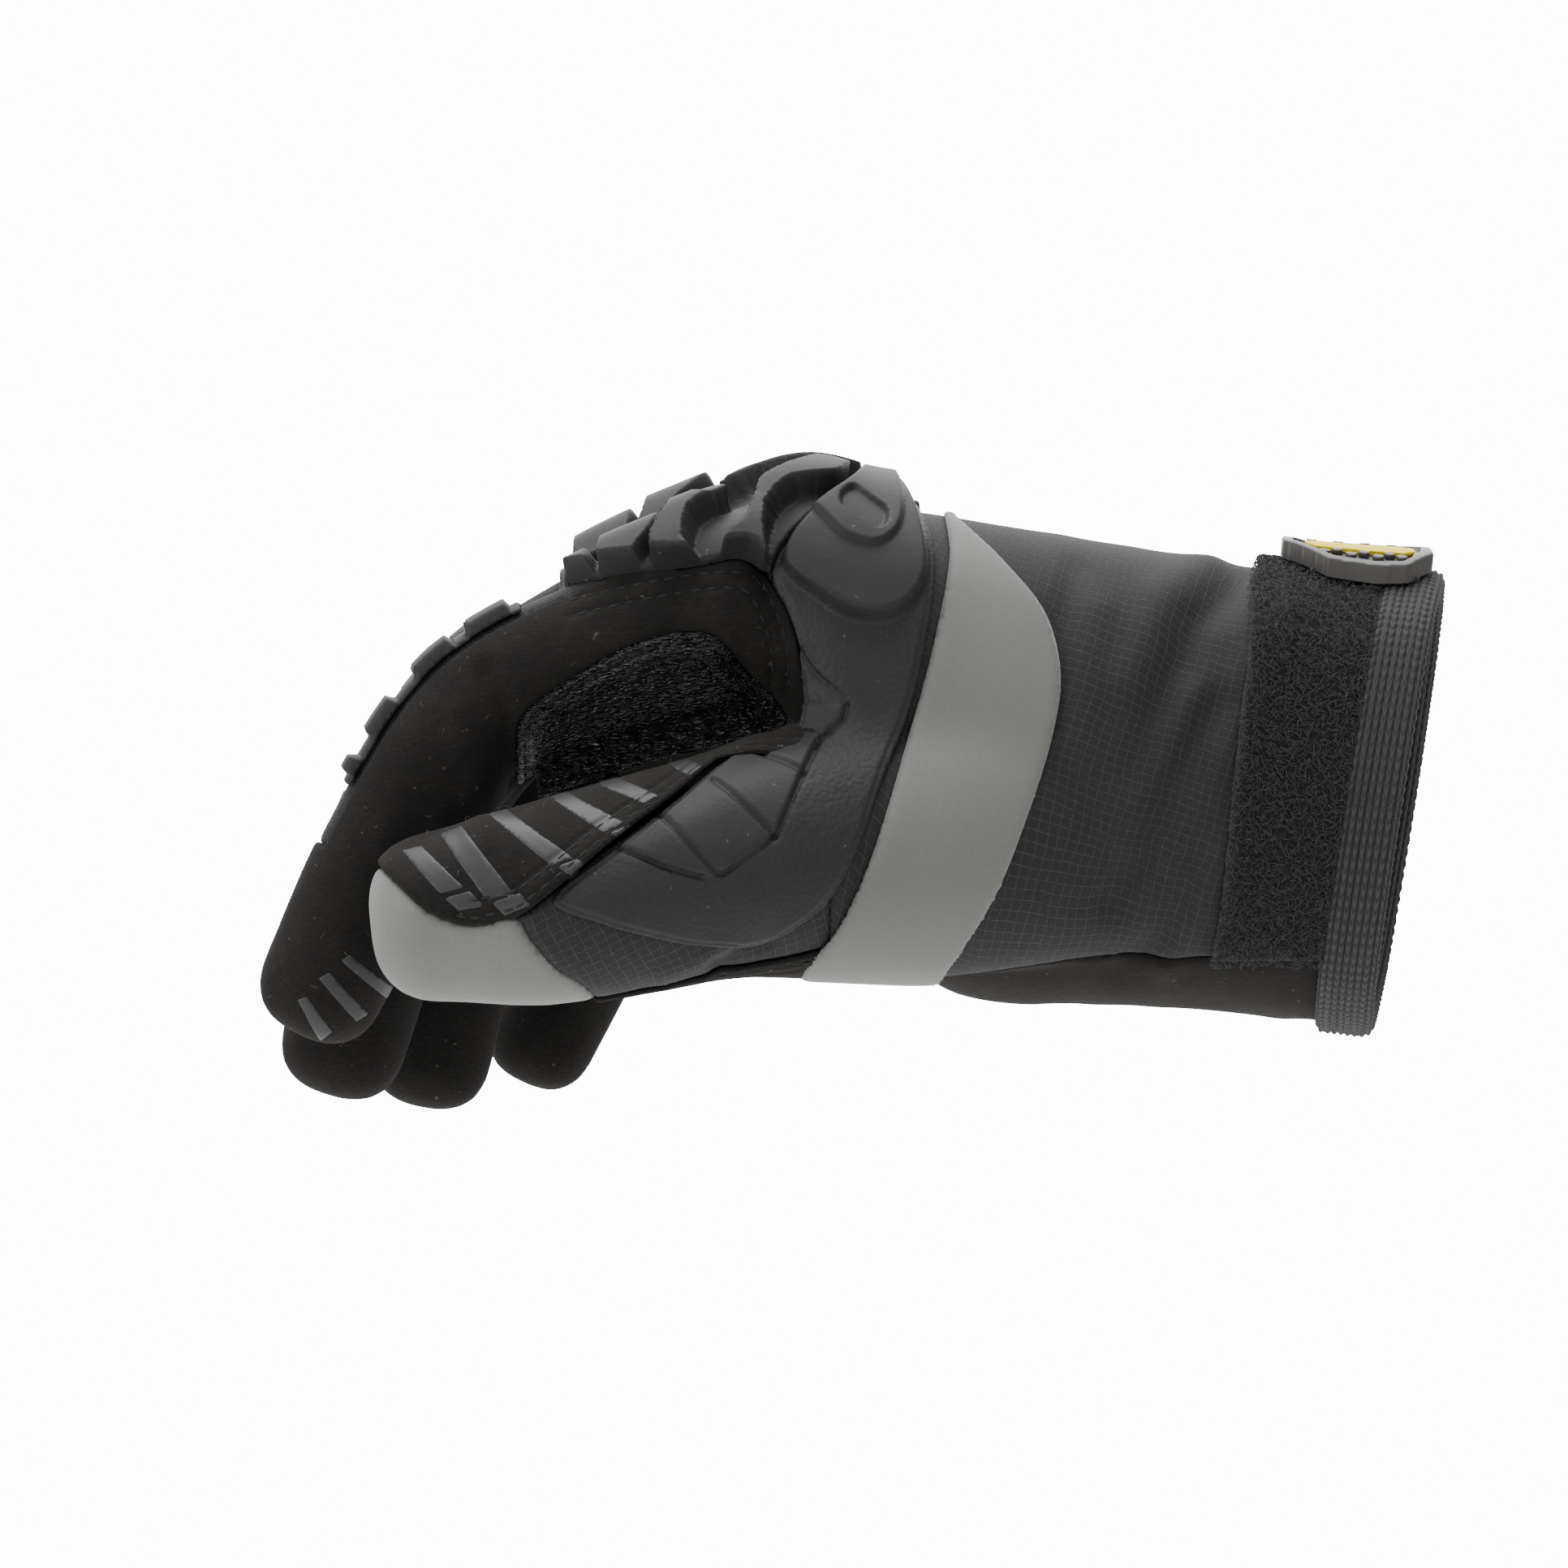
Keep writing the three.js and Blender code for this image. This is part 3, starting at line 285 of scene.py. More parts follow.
# Stripes printed on the suede: corners along and up
THUMB_PRINTS = [
    [(-163.9, -8), (-160.6, -7.3), (-153.6, -13.9), (-157.4, -14.9)],
    [(-157.8, -5.4), (-154.2, -4.1), (-145.6, -14.8), (-150, -15.8)],
    [(-150, -2.2), (-147.1, -1.4), (-136.2, -9.1), (-139.6, -10.4)],
    [(-140.7, 0.8), (-137.8, 1.6), (-127.9, -3.6), (-131.2, -5.2)],
    [(-132.7, 2.6), (-129.6, 3.9), (-122.5, 0.8), (-124.7, -0.6)],
    [(-121.7, 6), (-118.6, 7), (-115.5, 5.5), (-117.8, 3.9)],
    [(-156.7, -15.6), (-152.6, -14.5), (-150.3, -16.9), (-154.4, -17.6)],
    [(-149, -16.3), (-144.5, -14.8), (-142.9, -16.7), (-147.1, -18.4)],
    [(-138.6, -10.6), (-135.5, -9.3), (-132.5, -11.2), (-135.5, -12.8)],
    [(-130.3, -5.2), (-127.2, -3.9), (-124.7, -5.2), (-127.2, -7)],
]
TIP_PRINTS = [
    [(-181.6, -32.4), (-180, -31.9), (-176, -37.7), (-178.1, -39.3)],
    [(-178.1, -28.9), (-176.3, -28), (-170.2, -34.8), (-172.1, -36.1)],
    [(-174.4, -26.1), (-173.1, -25.1), (-165.7, -30.9), (-167.3, -32.4)],
]


# Curves and sections

def smooth_line(points, count, closed=False):
    """Points along a smooth curve through these points, evenly from one to the next."""
    points = np.asarray(points, float)
    last = len(points) - 1
    spans = len(points) if closed else last
    line = []
    for place in np.linspace(0, spans, count, endpoint=not closed):
        k = min(int(place), spans - 1)
        w = place - k
        if closed:
            p = [points[(k + j) % len(points)] for j in (-1, 0, 1, 2)]
        else:
            before = points[k - 1] if k else 2 * points[0] - points[1]
            after = points[k + 2] if k + 2 <= last else 2 * points[last] - points[last - 1]
            p = [before, points[k], points[k + 1], after]
        d = [max(np.linalg.norm(b - a), 1e-6) ** 0.5 for a, b in zip(p, p[1:])]
        leave = ((p[1] - p[0]) / d[0] - (p[2] - p[0]) / (d[0] + d[1])
                 + (p[2] - p[1]) / d[1]) * d[1]
        arrive = ((p[2] - p[1]) / d[1] - (p[3] - p[1]) / (d[1] + d[2])
                  + (p[3] - p[2]) / d[2]) * d[1]
        line.append(p[1] + leave * w + (3 * (p[2] - p[1]) - 2 * leave - arrive) * w ** 2
                    + (2 * (p[1] - p[2]) + leave + arrive) * w ** 3)
    return np.array(line)


def palm_ring(row, sides):
    at, y, z, near, far, top, bottom, near_top, far_top, far_bottom, near_bottom = row
    corners = [(-near, 0), (-near * near_top, top * near_top), (0, top),
               (far * far_top, top * far_top), (far, 0), (far * far_bottom, -bottom * far_bottom),
               (0, -bottom), (-near * near_bottom, -bottom * near_bottom)]
    points = [(at * PALM_LENGTH, (y + across) * PALM_WIDTH, (z + up) * PALM_HEIGHT)
              for across, up in corners]
    return smooth_line(points, sides, closed=True)


def unit(vectors):
    return vectors / np.linalg.norm(vectors, axis=-1, keepdims=True)


def digit_frames(digit, count):
    """Centre line of a digit with its directions and half sizes at each point."""
    scale = np.array([PALM_LENGTH, PALM_WIDTH, PALM_HEIGHT])
    joint = np.array(digit["root"]) * scale
    joints = [joint]
    for part, drop, turn in zip(digit["parts"], digit["drops"], digit["turns"]):
        a, b = math.radians(drop), math.radians(turn)
        step = np.array([-math.cos(a) * math.cos(b), -math.cos(a) * math.sin(b), -math.sin(a)])
        joint = joint + step * part * digit["length"]
        joints.append(joint)
    line = smooth_line(joints, count)
    along = unit(np.gradient(line, axis=0))
    side = unit(np.array([0, 1, 0]) - along * along[:, 1:2])
    up = np.cross(side, along)
    places = np.linspace(0, len(joints) - 1, count)
    thumb = "wide" in digit
    width, depth = (THUMB_WIDTH, THUMB_DEPTH) if thumb else (FINGER_WIDTH, FINGER_DEPTH)
    steps = np.arange(len(joints))
    wide = np.interp(places, steps, digit.get("wide", FINGER_WIDE)) * width * digit["bulk"] / 2
    deep = np.interp(places, steps, digit.get("deep", FINGER_DEEP)) * depth * digit["bulk"] / 2
    run = np.concatenate([[0], np.cumsum(np.linalg.norm(np.diff(line, axis=0), axis=1))])
    return dict(line=line, along=along, side=side, up=up, wide=wide, deep=deep, run=run)


FRAMES = {name: digit_frames(digit, DIGIT_STEPS) for name, digit in DIGITS.items()}


def around(name, points):
    """Points round a digit: mm along it, mm off its surface, mm round from its back."""
    f = FRAMES[name]
    far = ((points[:, None, :] - f["line"][None, ::3]) ** 2).sum(2).argmin(1) * 3
    nearest = far
    best = ((points - f["line"][far]) ** 2).sum(1)
    for step in (-2, -1, 1, 2):
        k = np.clip(far + step, 0, len(f["line"]) - 1)
        distance = ((points - f["line"][k]) ** 2).sum(1)
        nearest = np.where(distance < best, k, nearest)
        best = np.minimum(best, distance)
    off = points - f["line"][nearest]
    ahead = (off * f["along"][nearest]).sum(1)
    across = (off * f["side"][nearest]).sum(1)
    rise = (off * f["up"][nearest]).sum(1)
    wide, deep = f["wide"][nearest], f["deep"][nearest]
    past = np.where(nearest == len(f["line"]) - 1, np.maximum(ahead, 0), 0)
    past = np.where(nearest == 0, np.minimum(ahead, 0), past)
    reach = np.sqrt((across / wide) ** 2 + (rise / deep) ** 2 + (past / wide) ** 2)
    turn = np.arctan2(across, rise)
    size = (wide + deep) / 2
    return f["run"][nearest] + ahead, (reach - 1) * size, turn * size


# Fields: millimetres inside a zone's edge, negative outside it

def outline(points):
    """Zone inside a smooth outline seen from the thumb side."""
    scale = np.array([PALM_LENGTH, PALM_HEIGHT])
    edge = smooth_line(np.array(points) * scale, 12 * len(points), closed=True)
    return flat_zone(edge, (0, 2))


def flat_zone(edge, axes):
    following = np.roll(edge, -1, axis=0)
    low, high = edge.min(0) - 6, edge.max(0) + 6

    def field(points):
        flat = points[:, axes]
        value = np.full(len(points), -6.0)
        near = ((flat > low) & (flat < high)).all(1)
        p = flat[near]
        distance = np.full(len(p), 1e9)
        inside = np.zeros(len(p), bool)
        for a, b in zip(edge, following):
            d = b - a
            t = np.clip(((p - a) @ d) / max(d @ d, 1e-12), 0, 1)
            distance = np.minimum(distance, ((p - a - t[:, None] * d) ** 2).sum(1))
            crosses = (a[1] > p[:, 1]) != (b[1] > p[:, 1])
            if crosses.any():
                where = a[0] + (p[:, 1] - a[1]) / (b[1] - a[1] if b[1] != a[1] else 1) * d[0]
                inside ^= crosses & (p[:, 0] < where)
        value[near] = np.sqrt(distance) * np.where(inside, 1, -1)
        return value
    return field


def limit(axis, value, side):
    """Zone on one side of a plane: side is 1 above the value and -1 below it."""
    return lambda points: (points[:, axis] - value) * side


def nearer_than(share):
    """Zone on the thumb side of this share of the palm's width."""
    return limit(1, share * PALM_WIDTH, -1)


def below(seam):
    (near_y, near_z), (far_y, far_z) = [(y * PALM_WIDTH, z * PALM_HEIGHT) for y, z in seam]
    slope = (far_z - near_z) / (far_y - near_y)
    flat = 1 / math.hypot(1, slope)
    return lambda points: (near_z + (points[:, 1] - near_y) * slope - points[:, 2]) * flat


CUFF_NORMAL = unit(np.array([1, -math.tan(math.radians(CUFF_TURN)),
                             -math.tan(math.radians(CUFF_LEAN))]))


def past_cuff(points):
    return points @ CUFF_NORMAL


def inside_cuff(depth):
    return lambda points: -depth - past_cuff(points)


def both(*fields):
    return lambda points: np.minimum.reduce([field(points) for field in fields])


def either(*fields):
    return lambda points: np.maximum.reduce([field(points) for field in fields])


def outside(field):
    return lambda points: -field(points)


def tube_gap(name):
    return lambda points: around(name, points)[1]


def digit_zone(name):
    """Zone nearer to one digit than to the others, from where its own panels begin."""
    begins = limit(0, DIGITS[name]["begins"] * PALM_LENGTH, -1)

    def field(points):
        gaps = {other: tube_gap(other)(points) for other in DIGITS}
        others = [gaps[other] for other in DIGITS if other != name]
        return np.minimum(begins(points), np.minimum.reduce(others) - gaps[name])
    return field


def ease(values):
    t = np.clip(values, 0, 1)
    return t * t * (3 - 2 * t)


# Meshes

def coords(bm):
    return np.array([v.co[:] for v in bm.verts]).reshape(-1, 3)


def place(bm, points):
    for v, point in zip(bm.verts, points):
        v.co = point


def loft(rings):
    """Closed skin through rings of points."""
    bm = bmesh.new()
    loops = []
    for k, points in enumerate(rings):
        capped = k in (0, len(rings) - 1)
        made = bmesh.ops.create_circle(bm, cap_ends=capped, segments=len(points), radius=1)
        for v, point in zip(made["verts"], points):
            v.co = point
        loops.append(list({e for v in made["verts"] for e in v.link_edges}))
    for a, b in zip(loops, loops[1:]):
        bmesh.ops.bridge_loops(bm, edges=a + b)
    bmesh.ops.recalc_face_normals(bm, faces=bm.faces)
    return bm


def merged(parts):
    whole = bmesh.new()
    for part in parts:
        mesh = bpy.data.meshes.new("part")
        part.to_mesh(mesh)
        part.free()
        whole.from_mesh(mesh)
        bpy.data.meshes.remove(mesh)
    return whole


def in_scene(name, data):
    thing = bpy.data.objects.new(name, data)
    bpy.context.scene.collection.objects.link(thing)
    return thing


def remeshed(bm, rounds):
    """The outside of a mesh as one even skin, smoothed in so many rounds."""
    mesh = bpy.data.meshes.new("working")
    bm.to_mesh(mesh)
    work = in_scene("working", mesh)
    remesh = work.modifiers.new("even", "REMESH")
    remesh.mode = "VOXEL"
    remesh.voxel_size = VOXEL
    remesh.adaptivity = 0
    graph = bpy.context.evaluated_depsgraph_get()
    even = bpy.data.meshes.new_from_object(work.evaluated_get(graph))
    skin = bmesh.new()
    skin.from_mesh(even)
    bpy.data.objects.remove(work)
    bpy.data.meshes.remove(mesh)
    bpy.data.meshes.remove(even)
    smooth(skin, rounds)
    return skin


def smooth(bm, rounds, factor=0.5):
    for _ in range(rounds):
        bmesh.ops.smooth_vert(bm, verts=bm.verts, factor=factor, use_axis_x=True,
                              use_axis_y=True, use_axis_z=True)


def cut(bm, field):
    """Keeps what lies inside a zone, with a clean edge where the field is nought."""
    value = field(coords(bm))
    bm.verts.index_update()
    gone = [v for v, f in zip(bm.verts, value) if f < -2.5 * VOXEL]
    kept = value >= -2.5 * VOXEL
    bmesh.ops.delete(bm, geom=gone, context="VERTS")
    value = value[kept]
    value[np.abs(value) < SNAP] = 0
    bm.verts.index_update()
    out = [v for v, f in zip(bm.verts, value) if f < 0]
    edge = [v for v, f in zip(bm.verts, value) if f == 0]
    crossing = []
    for e in bm.edges:
        a, b = value[e.verts[0].index], value[e.verts[1].index]
        if a * b < 0:
            crossing.append((e, a / (a - b)))
    for e, share in crossing:
        edge.append(bmesh.utils.edge_split(e, e.verts[0], share)[1])
    bmesh.ops.connect_verts(bm, verts=edge)
    bmesh.ops.delete(bm, geom=out, context="VERTS")
    bmesh.ops.delete(bm, geom=[v for v in bm.verts if not v.link_faces], context="VERTS")


def edge_distance(bm):
    """Distance of each vertex from the mesh's open edge."""
    points = []
    for e in bm.edges:
        if e.is_boundary:
            a, b = e.verts[0].co, e.verts[1].co
            points += [a, a.lerp(b, 0.33), a.lerp(b, 0.67)]
    if not points:
        return np.full(len(bm.verts), 99.0)
    tree = KDTree(len(points))
    for k, point in enumerate(points):
        tree.insert(point, k)
    tree.balance()
    return np.array([tree.find(v.co)[2] for v in bm.verts])


def hand_form():
    """The outside of the hand's cloth as one closed skin."""
    rows = smooth_line(PALM, 40)
    parts = [loft([palm_ring(row, 64) for row in rows])]
    web = []
    for at, y, z, wide, deep, lean in smooth_line(WEB, 16):
        turn = np.linspace(0, 2 * math.pi, 32, endpoint=False)
        a, b = wide * PALM_WIDTH * np.cos(turn), deep * PALM_HEIGHT * np.sin(turn)
        tip = math.radians(lean)
        web.append(np.stack([np.full(len(turn), at * PALM_LENGTH),
                             y * PALM_WIDTH + a * math.cos(tip) + b * math.sin(tip),
                             z * PALM_HEIGHT - a * math.sin(tip) + b * math.cos(tip)], axis=1))
    parts.append(loft(web))
    for name in DIGITS:
        f = FRAMES[name]
        turn = np.linspace(0, 2 * math.pi, 36, endpoint=False)[:, None]
        rings = [f["line"][k] + f["side"][k] * f["wide"][k] * np.cos(turn)
                 + f["up"][k] * f["deep"][k] * np.sin(turn) for k in range(0, DIGIT_STEPS, 4)]
        k = DIGIT_STEPS - 1
        for degrees in (2, 20, 36, 52, 68, 80):
            share = math.cos(math.radians(degrees)) ** 0.72
            past = 0.95 * math.sin(math.radians(degrees)) ** 0.9
            rings.append(f["line"][k] + f["along"][k] * f["wide"][k] * past
                         + (f["side"][k] * f["wide"][k] * np.cos(turn)
                            + f["up"][k] * f["deep"][k] * np.sin(turn)) * share)
        parts.append(loft(rings))
    return remeshed(merged(parts), HAND_ROUNDS)


def spanning(bm):
    """A skin that spans the hand's creases, and out from each point of it, as "out"."""
    outer = remeshed(grown(bm, SPAN), SPAN_ROUNDS)
    inner = grown(outer, -SPAN)
    smooth(inner, 5)
    out = inner.verts.layers.float_vector.new("out")
    for v, far in zip(inner.verts, coords(outer)):
        v[out] = (Vector(far) - v.co) / SPAN
    outer.free()
    return inner


def folded(bm):
    """Presses the folds into the side that faces the thumb, and slacker ones all round."""
    points, facing = coords(bm), normals(bm)
    depth = np.zeros(len(points))
    for line, width, fall in FOLDS:
        depth += fall * np.exp(-(line_distance(points, line) / width) ** 2)
    depth *= ease(-facing[:, 1] * 2.5 + 0.3)
    begins, ends = SLACK_ALONG
    slack = ease((points[:, 0] - begins) / 12) * ease((ends - points[:, 0]) / 12)
    slack = slack * ease(facing[:, 1] * 2.5 + 0.3)
    waves = np.array([noise.noise(((x + 0.6 * z) / 9, y / 26, z / 26)) for x, y, z in points])
    place(bm, points - facing * (depth + SLACK_DEPTH * slack * waves)[:, None])
    return bm


def line_distance(points, line):
    """Distance, seen from the thumb side, of each point from a line through these corners."""
    flat = points[:, (0, 2)]
    best = np.full(len(points), 1e9)
    for a, b in zip(np.array(line)[:-1], np.array(line)[1:]):
        d = b - a
        t = np.clip(((flat - a) @ d) / (d @ d), 0, 1)
        best = np.minimum(best, ((flat - a - t[:, None] * d) ** 2).sum(1))
    return np.sqrt(best)


def edge_loops(bm):
    """The open edges of a mesh as closed rings of points."""
    links = {}
    for e in bm.edges:
        if e.is_boundary:
            a, b = e.verts
            links.setdefault(a, []).append(b)
            links.setdefault(b, []).append(a)
    rings = []
    while links:
        start = next(iter(links))
        ring, here = [], start
        while here in links:
            ring.append(here.co[:])
            ways = [v for v in links.pop(here) if v in links]
            if not ways:
                break
            here = ways[0]
        if len(ring) > 12:
            rings.append(np.array(ring))
    return rings


def seam_places(bm, inset):
    """Places with normals and directions along a row of stitches inside a panel's edge."""
    surface = BVHTree.FromBMesh(bm)
    places = []
    for ring in edge_loops(bm):
        for _ in range(4):
            ring = (np.roll(ring, 1, axis=0) + 2 * ring + np.roll(ring, -1, axis=0)) / 4
        steps = np.linalg.norm(np.roll(ring, -1, axis=0) - ring, axis=1)
        run = np.concatenate([[0], np.cumsum(steps)])
        closed = np.vstack([ring, ring[:1]])
        count = max(3, round(run[-1] / STITCH_PITCH))
        where = np.linspace(0, run[-1], count, endpoint=False)
        inner = []
        for at in where:
            point, ahead = (Vector([np.interp((at + d) % run[-1], run, closed[:, k])
                                    for k in range(3)]) for d in (0, 0.8))
            along = (ahead - point).normalized()
            _, normal, _, _ = surface.find_nearest(point)
            inward = normal.cross(along).normalized() * inset
            if (surface.find_nearest(point + inward)[3]
                    > surface.find_nearest(point - inward)[3]):
                inward = -inward
            inner.append(point + inward)
        for k, point in enumerate(inner):
            spot, normal, _, _ = surface.find_nearest(point)
            along = (inner[(k + 1) % len(inner)] - inner[k - 1]).normalized()
            places.append((spot, normal, along))
    return places


def beside(line, inset):
    """A line seen from the thumb side, moved to the left of its own way."""
    ways = unit(np.gradient(line, axis=0))
    return line + inset * np.stack([-ways[:, 1], ways[:, 0]], axis=1)


def line_places(bm, line):
    """Places with normals and directions under a line seen from the thumb side."""
    surface = BVHTree.FromBMesh(bm)
    run = np.concatenate([[0], np.cumsum(np.linalg.norm(np.diff(line, axis=0), axis=1))])
    hits = []
    for at in np.arange(STITCH_PITCH / 2, run[-1], STITCH_PITCH):
        x, z = (np.interp(at, run, line[:, k]) for k in (0, 1))
        spot, normal, _, _ = surface.ray_cast(Vector((x, -FAR, z)), Vector((0, 1, 0)))
        if spot:
            hits.append((spot, normal))
    return [(spot, normal, (hits[min(k + 1, len(hits) - 1)][0] - hits[max(k - 1, 0)][0])
             .normalized()) for k, (spot, normal) in enumerate(hits)]


def normals(bm):
    bm.normal_update()
    return np.array([v.normal[:] for v in bm.verts])


def grown(bm, rise):
    made = bm.copy()
    place(made, coords(bm) + normals(bm) * rise)
    return made


# Materials

def linear(text):
    """An sRGB hex colour as linear red, green, blue and alpha."""
    parts = [int(text[k:k + 2], 16) / 255 for k in (1, 3, 5)]
    return [c / 12.92 if c <= 0.04045 else ((c + 0.055) / 1.055) ** 2.4 for c in parts] + [1]


def add(tree, kind, inputs=None, **settings):
    """A node with its settings, its inputs' values and its links."""
    node = tree.nodes.new(kind)
    for name, value in settings.items():
        setattr(node, name, value)
    for key, value in (inputs or {}).items():
        if isinstance(value, bpy.types.NodeSocket):
            tree.links.new(value, node.inputs[key])
        else:
            node.inputs[key].default_value = value
    return node


def material(name, roughness, **shader):
    made = bpy.data.materials.new(name)
    made.use_nodes = True
    tree = made.node_tree
    bsdf = tree.nodes["Principled BSDF"]
    bsdf.inputs["Roughness"].default_value = roughness
    for key, value in shader.items():
        bsdf.inputs[key.replace("_", " ")].default_value = value
    place_node = add(tree, "ShaderNodeTexCoord")
    return made, tree, place_node.outputs["Object"]


def covered(made, colour, height, strength, depth, invert=False):
    """The material with this colour and a relief of that many millimetres on its shader."""
    tree = made.node_tree
    bsdf = tree.nodes["Principled BSDF"]
    tree.links.new(colour, bsdf.inputs["Base Color"])
    bump = add(tree, "ShaderNodeBump", {"Height": height, "Strength": strength,
                                        "Distance": depth / 1000}, invert=invert)
    tree.links.new(bump.outputs["Normal"], bsdf.inputs["Normal"])
    return made


def mm(size):
    """Texture scale whose pattern repeats every size millimetres on Object coordinates."""
    return 1000 / size


def suede():
    # Napped synthetic suede: microfibre knit sanded to a nap, so it is matt and near black, with
    # lighter brushed patches, short strands lying one way and a few specks of dust. The nap is
    # drawn at 0.5 mm, coarser than real microfibre, so that it shows
    made, tree, at = material("napped_synthetic_suede", 0.95, Sheen_Weight=0.07,
                              Specular_IOR_Level=0.25,
                              Sheen_Roughness=0.5, Sheen_Tint=linear("#8a8176"))
    laid = add(tree, "ShaderNodeMapping", {"Vector": at, "Rotation": (0.3, 0.5, 0.2),
                                           "Scale": (0.35, 1, 1)})
    nap = add(tree, "ShaderNodeTexNoise", {"Vector": laid.outputs[0], "Scale": mm(0.5),
                                           "Detail": 5, "Roughness": 0.7})
    patches = add(tree, "ShaderNodeTexNoise", {"Vector": at, "Scale": mm(9), "Detail": 4,
                                               "Roughness": 0.6})
    both_sizes = add(tree, "ShaderNodeMath", {0: nap.outputs["Fac"], 1: patches.outputs["Fac"]},
                     operation="MULTIPLY")
    colour = add(tree, "ShaderNodeValToRGB", {"Fac": both_sizes.outputs[0]})
    colour.color_ramp.elements[0].position = 0.14
    colour.color_ramp.elements[0].color = linear("#0b0a09")
    colour.color_ramp.elements[1].position = 0.42
    colour.color_ramp.elements[1].color = linear("#1c1a18")
    dust = add(tree, "ShaderNodeTexNoise", {"Vector": at, "Scale": mm(1.3), "Detail": 1})
    specks = add(tree, "ShaderNodeMapRange", {"Value": dust.outputs["Fac"], "From Min": 0.74,
                                              "From Max": 0.8, "To Max": 0.5})
    dusty = add(tree, "ShaderNodeMix", {0: specks.outputs[0], 6: colour.outputs["Color"],
                                        7: linear("#5d5851")}, data_type="RGBA")
    return covered(made, dusty.outputs[2], nap.outputs["Fac"], 0.6, 0.3)


def ripstop():
    # Ripstop polyester: a close plain weave, matt and dark, with a thicker and slightly lighter
    # thread every 1.6 mm each way. The plain weave is drawn at 0.7 mm, coarser than its threads,
    # so that it shows
    made, tree, at = material("ripstop_polyester", 0.85, Sheen_Weight=0.06,
                              Sheen_Roughness=0.4, Sheen_Tint=linear("#8c8c8c"))
    cloth = add(tree, "ShaderNodeAttribute", attribute_name="cloth")
    turned = add(tree, "ShaderNodeMapping", {"Vector": cloth.outputs["Vector"],
                                             "Rotation": (0, 0, math.radians(14))})
    drift = add(tree, "ShaderNodeTexNoise", {"Vector": turned.outputs[0], "Scale": 0.08,
                                             "Detail": 2})
    strayed = add(tree, "ShaderNodeVectorMath", {0: drift.outputs["Color"], 1: (2.4, 2.4, 0)},
                  operation="MULTIPLY")
    moved = add(tree, "ShaderNodeVectorMath", {0: turned.outputs[0], 1: strayed.outputs[0]},
                operation="ADD")
    grid = add(tree, "ShaderNodeTexBrick", {
        "Vector": moved.outputs[0], "Scale": 1, "Mortar Size": 0.11, "Mortar Smooth": 0.6,
        "Brick Width": 1.6, "Row Height": 1.6}, offset=0)
    weave = add(tree, "ShaderNodeTexNoise", {"Vector": at, "Scale": mm(0.7), "Detail": 3,
                                             "Roughness": 0.7})
    ground = add(tree, "ShaderNodeMix", {0: weave.outputs["Fac"], 6: linear("#0d0d0e"),
                                         7: linear("#19191b")}, data_type="RGBA")
    broken = add(tree, "ShaderNodeMath", {0: grid.outputs["Fac"], 1: weave.outputs["Fac"]},
                 operation="MULTIPLY")
    colour = add(tree, "ShaderNodeMix", {0: broken.outputs[0], 6: ground.outputs[2],
                                         7: linear("#3b3b3f")}, data_type="RGBA")
    raised = add(tree, "ShaderNodeMath", {0: grid.outputs["Fac"], 1: 1.3,
                                          2: weave.outputs["Fac"]}, operation="MULTIPLY_ADD")
    return covered(made, colour.outputs[2], raised.outputs[0], 0.7, 0.2)


def grey_cloth():
    # Stretch cloth with a smooth brushed face: even mid grey, matt, a faint mottle and a knit
    # of about 0.5 mm, coarser than the real one, that only just shows
    made, tree, at = material("brushed_stretch_cloth", 0.75, Sheen_Weight=0.2,
                              Sheen_Roughness=0.5)
    mottle = add(tree, "ShaderNodeTexNoise", {"Vector": at, "Scale": mm(22), "Detail": 4})
    knit = add(tree, "ShaderNodeTexNoise", {"Vector": at, "Scale": mm(0.5), "Detail": 2})
    colour = add(tree, "ShaderNodeMix", {0: mottle.outputs["Fac"], 6: linear("#636661"),
                                         7: linear("#6f716c")}, data_type="RGBA")
    fine = add(tree, "ShaderNodeMix", {0: knit.outputs["Fac"], 6: linear("#5f615d"),
                                       7: colour.outputs[2]}, data_type="RGBA")
    return covered(made, fine.outputs[2], knit.outputs["Fac"], 0.25, 0.1)


